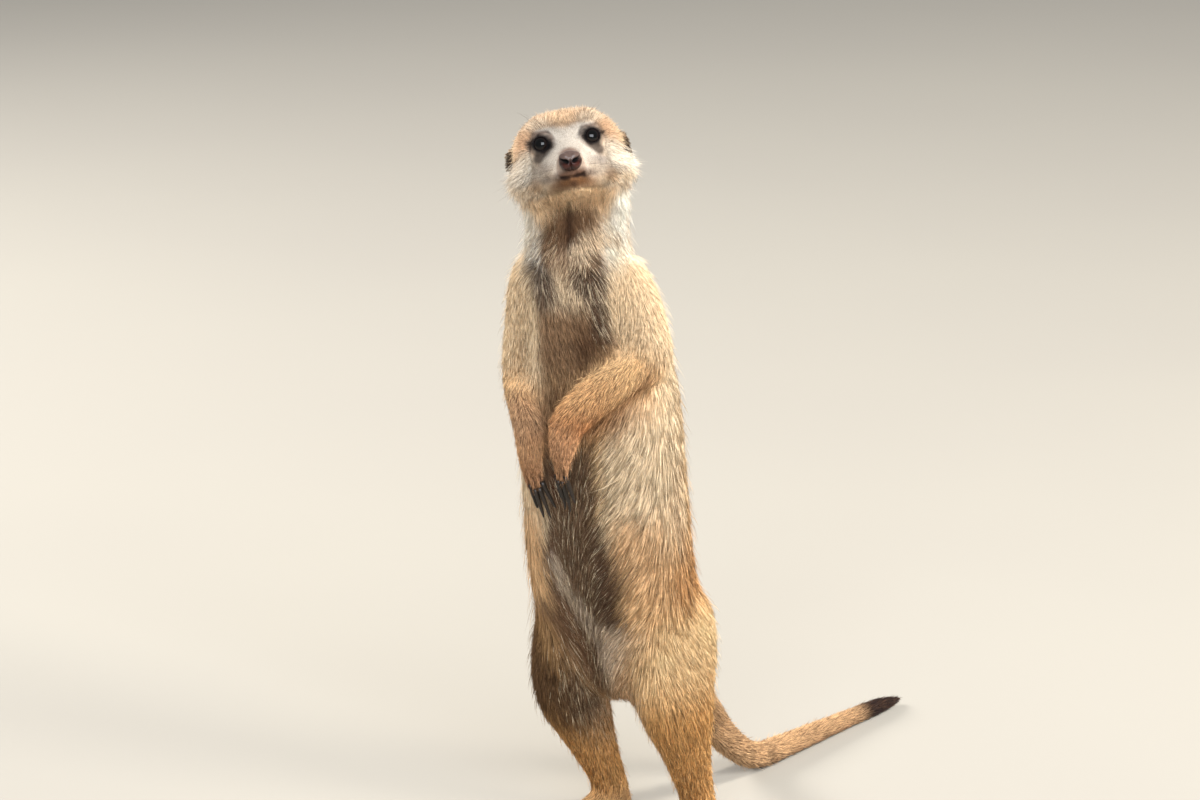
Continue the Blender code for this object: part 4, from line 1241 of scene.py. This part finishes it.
GROWTH = (400, 3, (1, 1, 3))
horn, tree, shader = two_toned("claw_horn", GROWTH, (0.006, 0.004, 0.003), (0.026, 0.018, 0.013), {
    "Specular IOR Level": 0.28,
})
growth = noise(tree, *GROWTH)
fill(tree, shader, {"Roughness": span(tree, growth, 0.25, 0.4), "Normal": bump(tree, growth, 0.3, 0.0001)})
claw_points, claw_faces = [], []
claw_names = [name for name in frame["nodes"] if name.startswith("claw")]
for name in claw_names:
    _, kind, side, number = name.split("_")
    heart = np.array(middle(("hand_" if kind == "fore" else "foot_") + side))
    shape = cad_points(name)
    gap = np.linalg.norm(shape - heart, axis=1)
    start = shape[gap < gap.min() + 2 * MM].mean(axis=0)
    end = shape[np.linalg.norm(shape - start, axis=1).argmax()]
    along = (shape - start) @ unit(end - start) / np.linalg.norm(end - start)
    turned = 2 * shape[(along > 0.35) & (along < 0.65)].mean(axis=0) - (start + end) / 2
    start = start + unit(heart - start) * 2.4 * MM
    if kind == "fore":
        n = int(number) - 1
        turned = turned + unit(turned - (start + end) / 2) * 2.2 * MM
        end = end + np.array(((n - 1.5) * TIP_ASIDE, TIP_BACK[n], TIP_UP[n])) * MM
    hoops = []
    for t in np.arange(CLAW_RINGS) / CLAW_RINGS:
        centre, axis = along_arc(start, turned, end, t)
        across = unit(np.cross(axis, (0.0, 0.0, 1.0) if kind == "hind" else (0.0, 1.0, 0.0)))
        r = CLAW_RADIUS * (1 - t) ** 0.75
        hoops.append(hoop(centre, across, np.cross(across, axis), r * 0.8, r, CLAW_SIDES))
    add_spike(claw_points, claw_faces, hoops, end)
claw_points = np.array(claw_points)
claw_points[:, 2] = np.maximum(claw_points[:, 2], 0.2 * MM)
claws = new_piece("claws", claw_points, claw_faces, horn)
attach(claws, "root")
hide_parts(*claw_names)

# ---------------------------------------------------------------- whiskers
# Stiff dark bristles from the pads beside the nose and a few above each eye, fine and springy.
# Each is rooted in the skin, sags a little and tapers to a point.
WHISKER_ROOTS = ((7.0, -17.5, -11.0), (8.6, -14.5, -10.8), (9.4, -13.0, -12.4), (10.4, -10.2, -12.8),
                 (8.6, -15.4, -14.0), (11.0, -8.6, -11.4))
BROW_ROOTS = ((7.6, -3.6, 5.6), (9.0, -2.6, 6.2), (10.6, -1.6, 6.4))
WHISKER_SIDES, WHISKER_RINGS = 5, 8
whisker_points, whisker_faces = [], []
whisker_rng = np.random.default_rng(5)
for s in (1, -1):
    flip = np.array([s, 1, 1])
    jobs = [(start, (1.0, 0.35, 0.02), (0.1, 0.25, -0.25), 17, 0.055) for start in WHISKER_ROOTS]
    jobs += [(start, (0.35, -0.1, 1.0), (0.3, 0.5, -0.1), 9, 0.06) for start in BROW_ROOTS]
    for start, way, sag, reach, thick in jobs:
        way = unit((np.array(way) + whisker_rng.normal(0, 0.13, 3)) * flip)
        start, sag = np.array(start) * flip, np.array(sag) * flip
        reach *= 0.7 + 0.6 * whisker_rng.random()
        hoops = []
        for t in np.arange(WHISKER_RINGS) / WHISKER_RINGS:
            axis = unit(way + 2 * sag * t)
            across = unit(np.cross(axis, (0.0, 0.3, 1.0)))
            r = thick * (1 - t) ** 0.7
            centre = start + way * reach * t + sag * reach * t * t
            hoops.append(hoop(centre, across, np.cross(across, axis), r, r, WHISKER_SIDES))
        add_spike(whisker_points, whisker_faces, hoops, start + way * reach + sag * reach)
bristle, _, _ = two_toned("bristle", (200,), (0.05, 0.035, 0.028), (0.16, 0.12, 0.09), {"Roughness": 0.4})
whiskers = new_piece("whiskers", from_head(np.array(whisker_points)), whisker_faces, bristle)
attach(whiskers, "root")

# ---------------------------------------------------------------- floor and light
# A plain pale floor that runs out of sight, lit by soft studio lamps: a warm one on the animal's left, a rim
# lamp behind, one on the other side, and a wide cool window in front.
bpy.ops.mesh.primitive_plane_add(size=24, location=(0, 0, 0))
floor = bpy.context.object
floor.name = "floor"
paper, _, _ = two_toned("floor_paper", (3, 2), (0.32, 0.30, 0.27), (0.35, 0.33, 0.29), {"Roughness": 0.8})
floor.data.materials.append(paper)


def lamp(name, place, size, power, tint, spread=120, seen_in_gloss=False):
    light = bpy.data.lights.new(name, "AREA")
    light.shape = "RECTANGLE"
    light.size, light.size_y = size
    light.energy = power
    light.color = tint
    light.spread = math.radians(spread)
    obj = bpy.data.objects.new(name, light)
    obj.location = place
    obj.rotation_euler = (Vector(place) - Vector((0, -0.05, 0.18))).to_track_quat("Z", "Y").to_euler()
    obj.visible_glossy = seen_in_gloss
    bpy.context.scene.collection.objects.link(obj)


lamp("key", (2.1, -0.5, 1.3), (0.7, 0.7), 21, (1.0, 0.95, 0.87))
lamp("rim", (1.3, 1.5, 1.5), (0.6, 0.6), 36, (1.0, 0.95, 0.87))
lamp("side", (-1.7, 0.3, 0.9), (0.8, 0.8), 27, (1.0, 0.97, 0.93))
lamp("window", (1.8, -2.45, 1.85), (2.6, 1.6), 166, (0.90, 0.95, 1.0), 180, True)
sky = bpy.data.worlds.new("studio")
sky.use_nodes = True
sky.node_tree.nodes["Background"].inputs["Color"].default_value = (0.95, 0.97, 1.0, 1)
sky.node_tree.nodes["Background"].inputs["Strength"].default_value = 0.36
bpy.context.scene.world = sky
bpy.context.scene.view_settings.view_transform = "Standard"
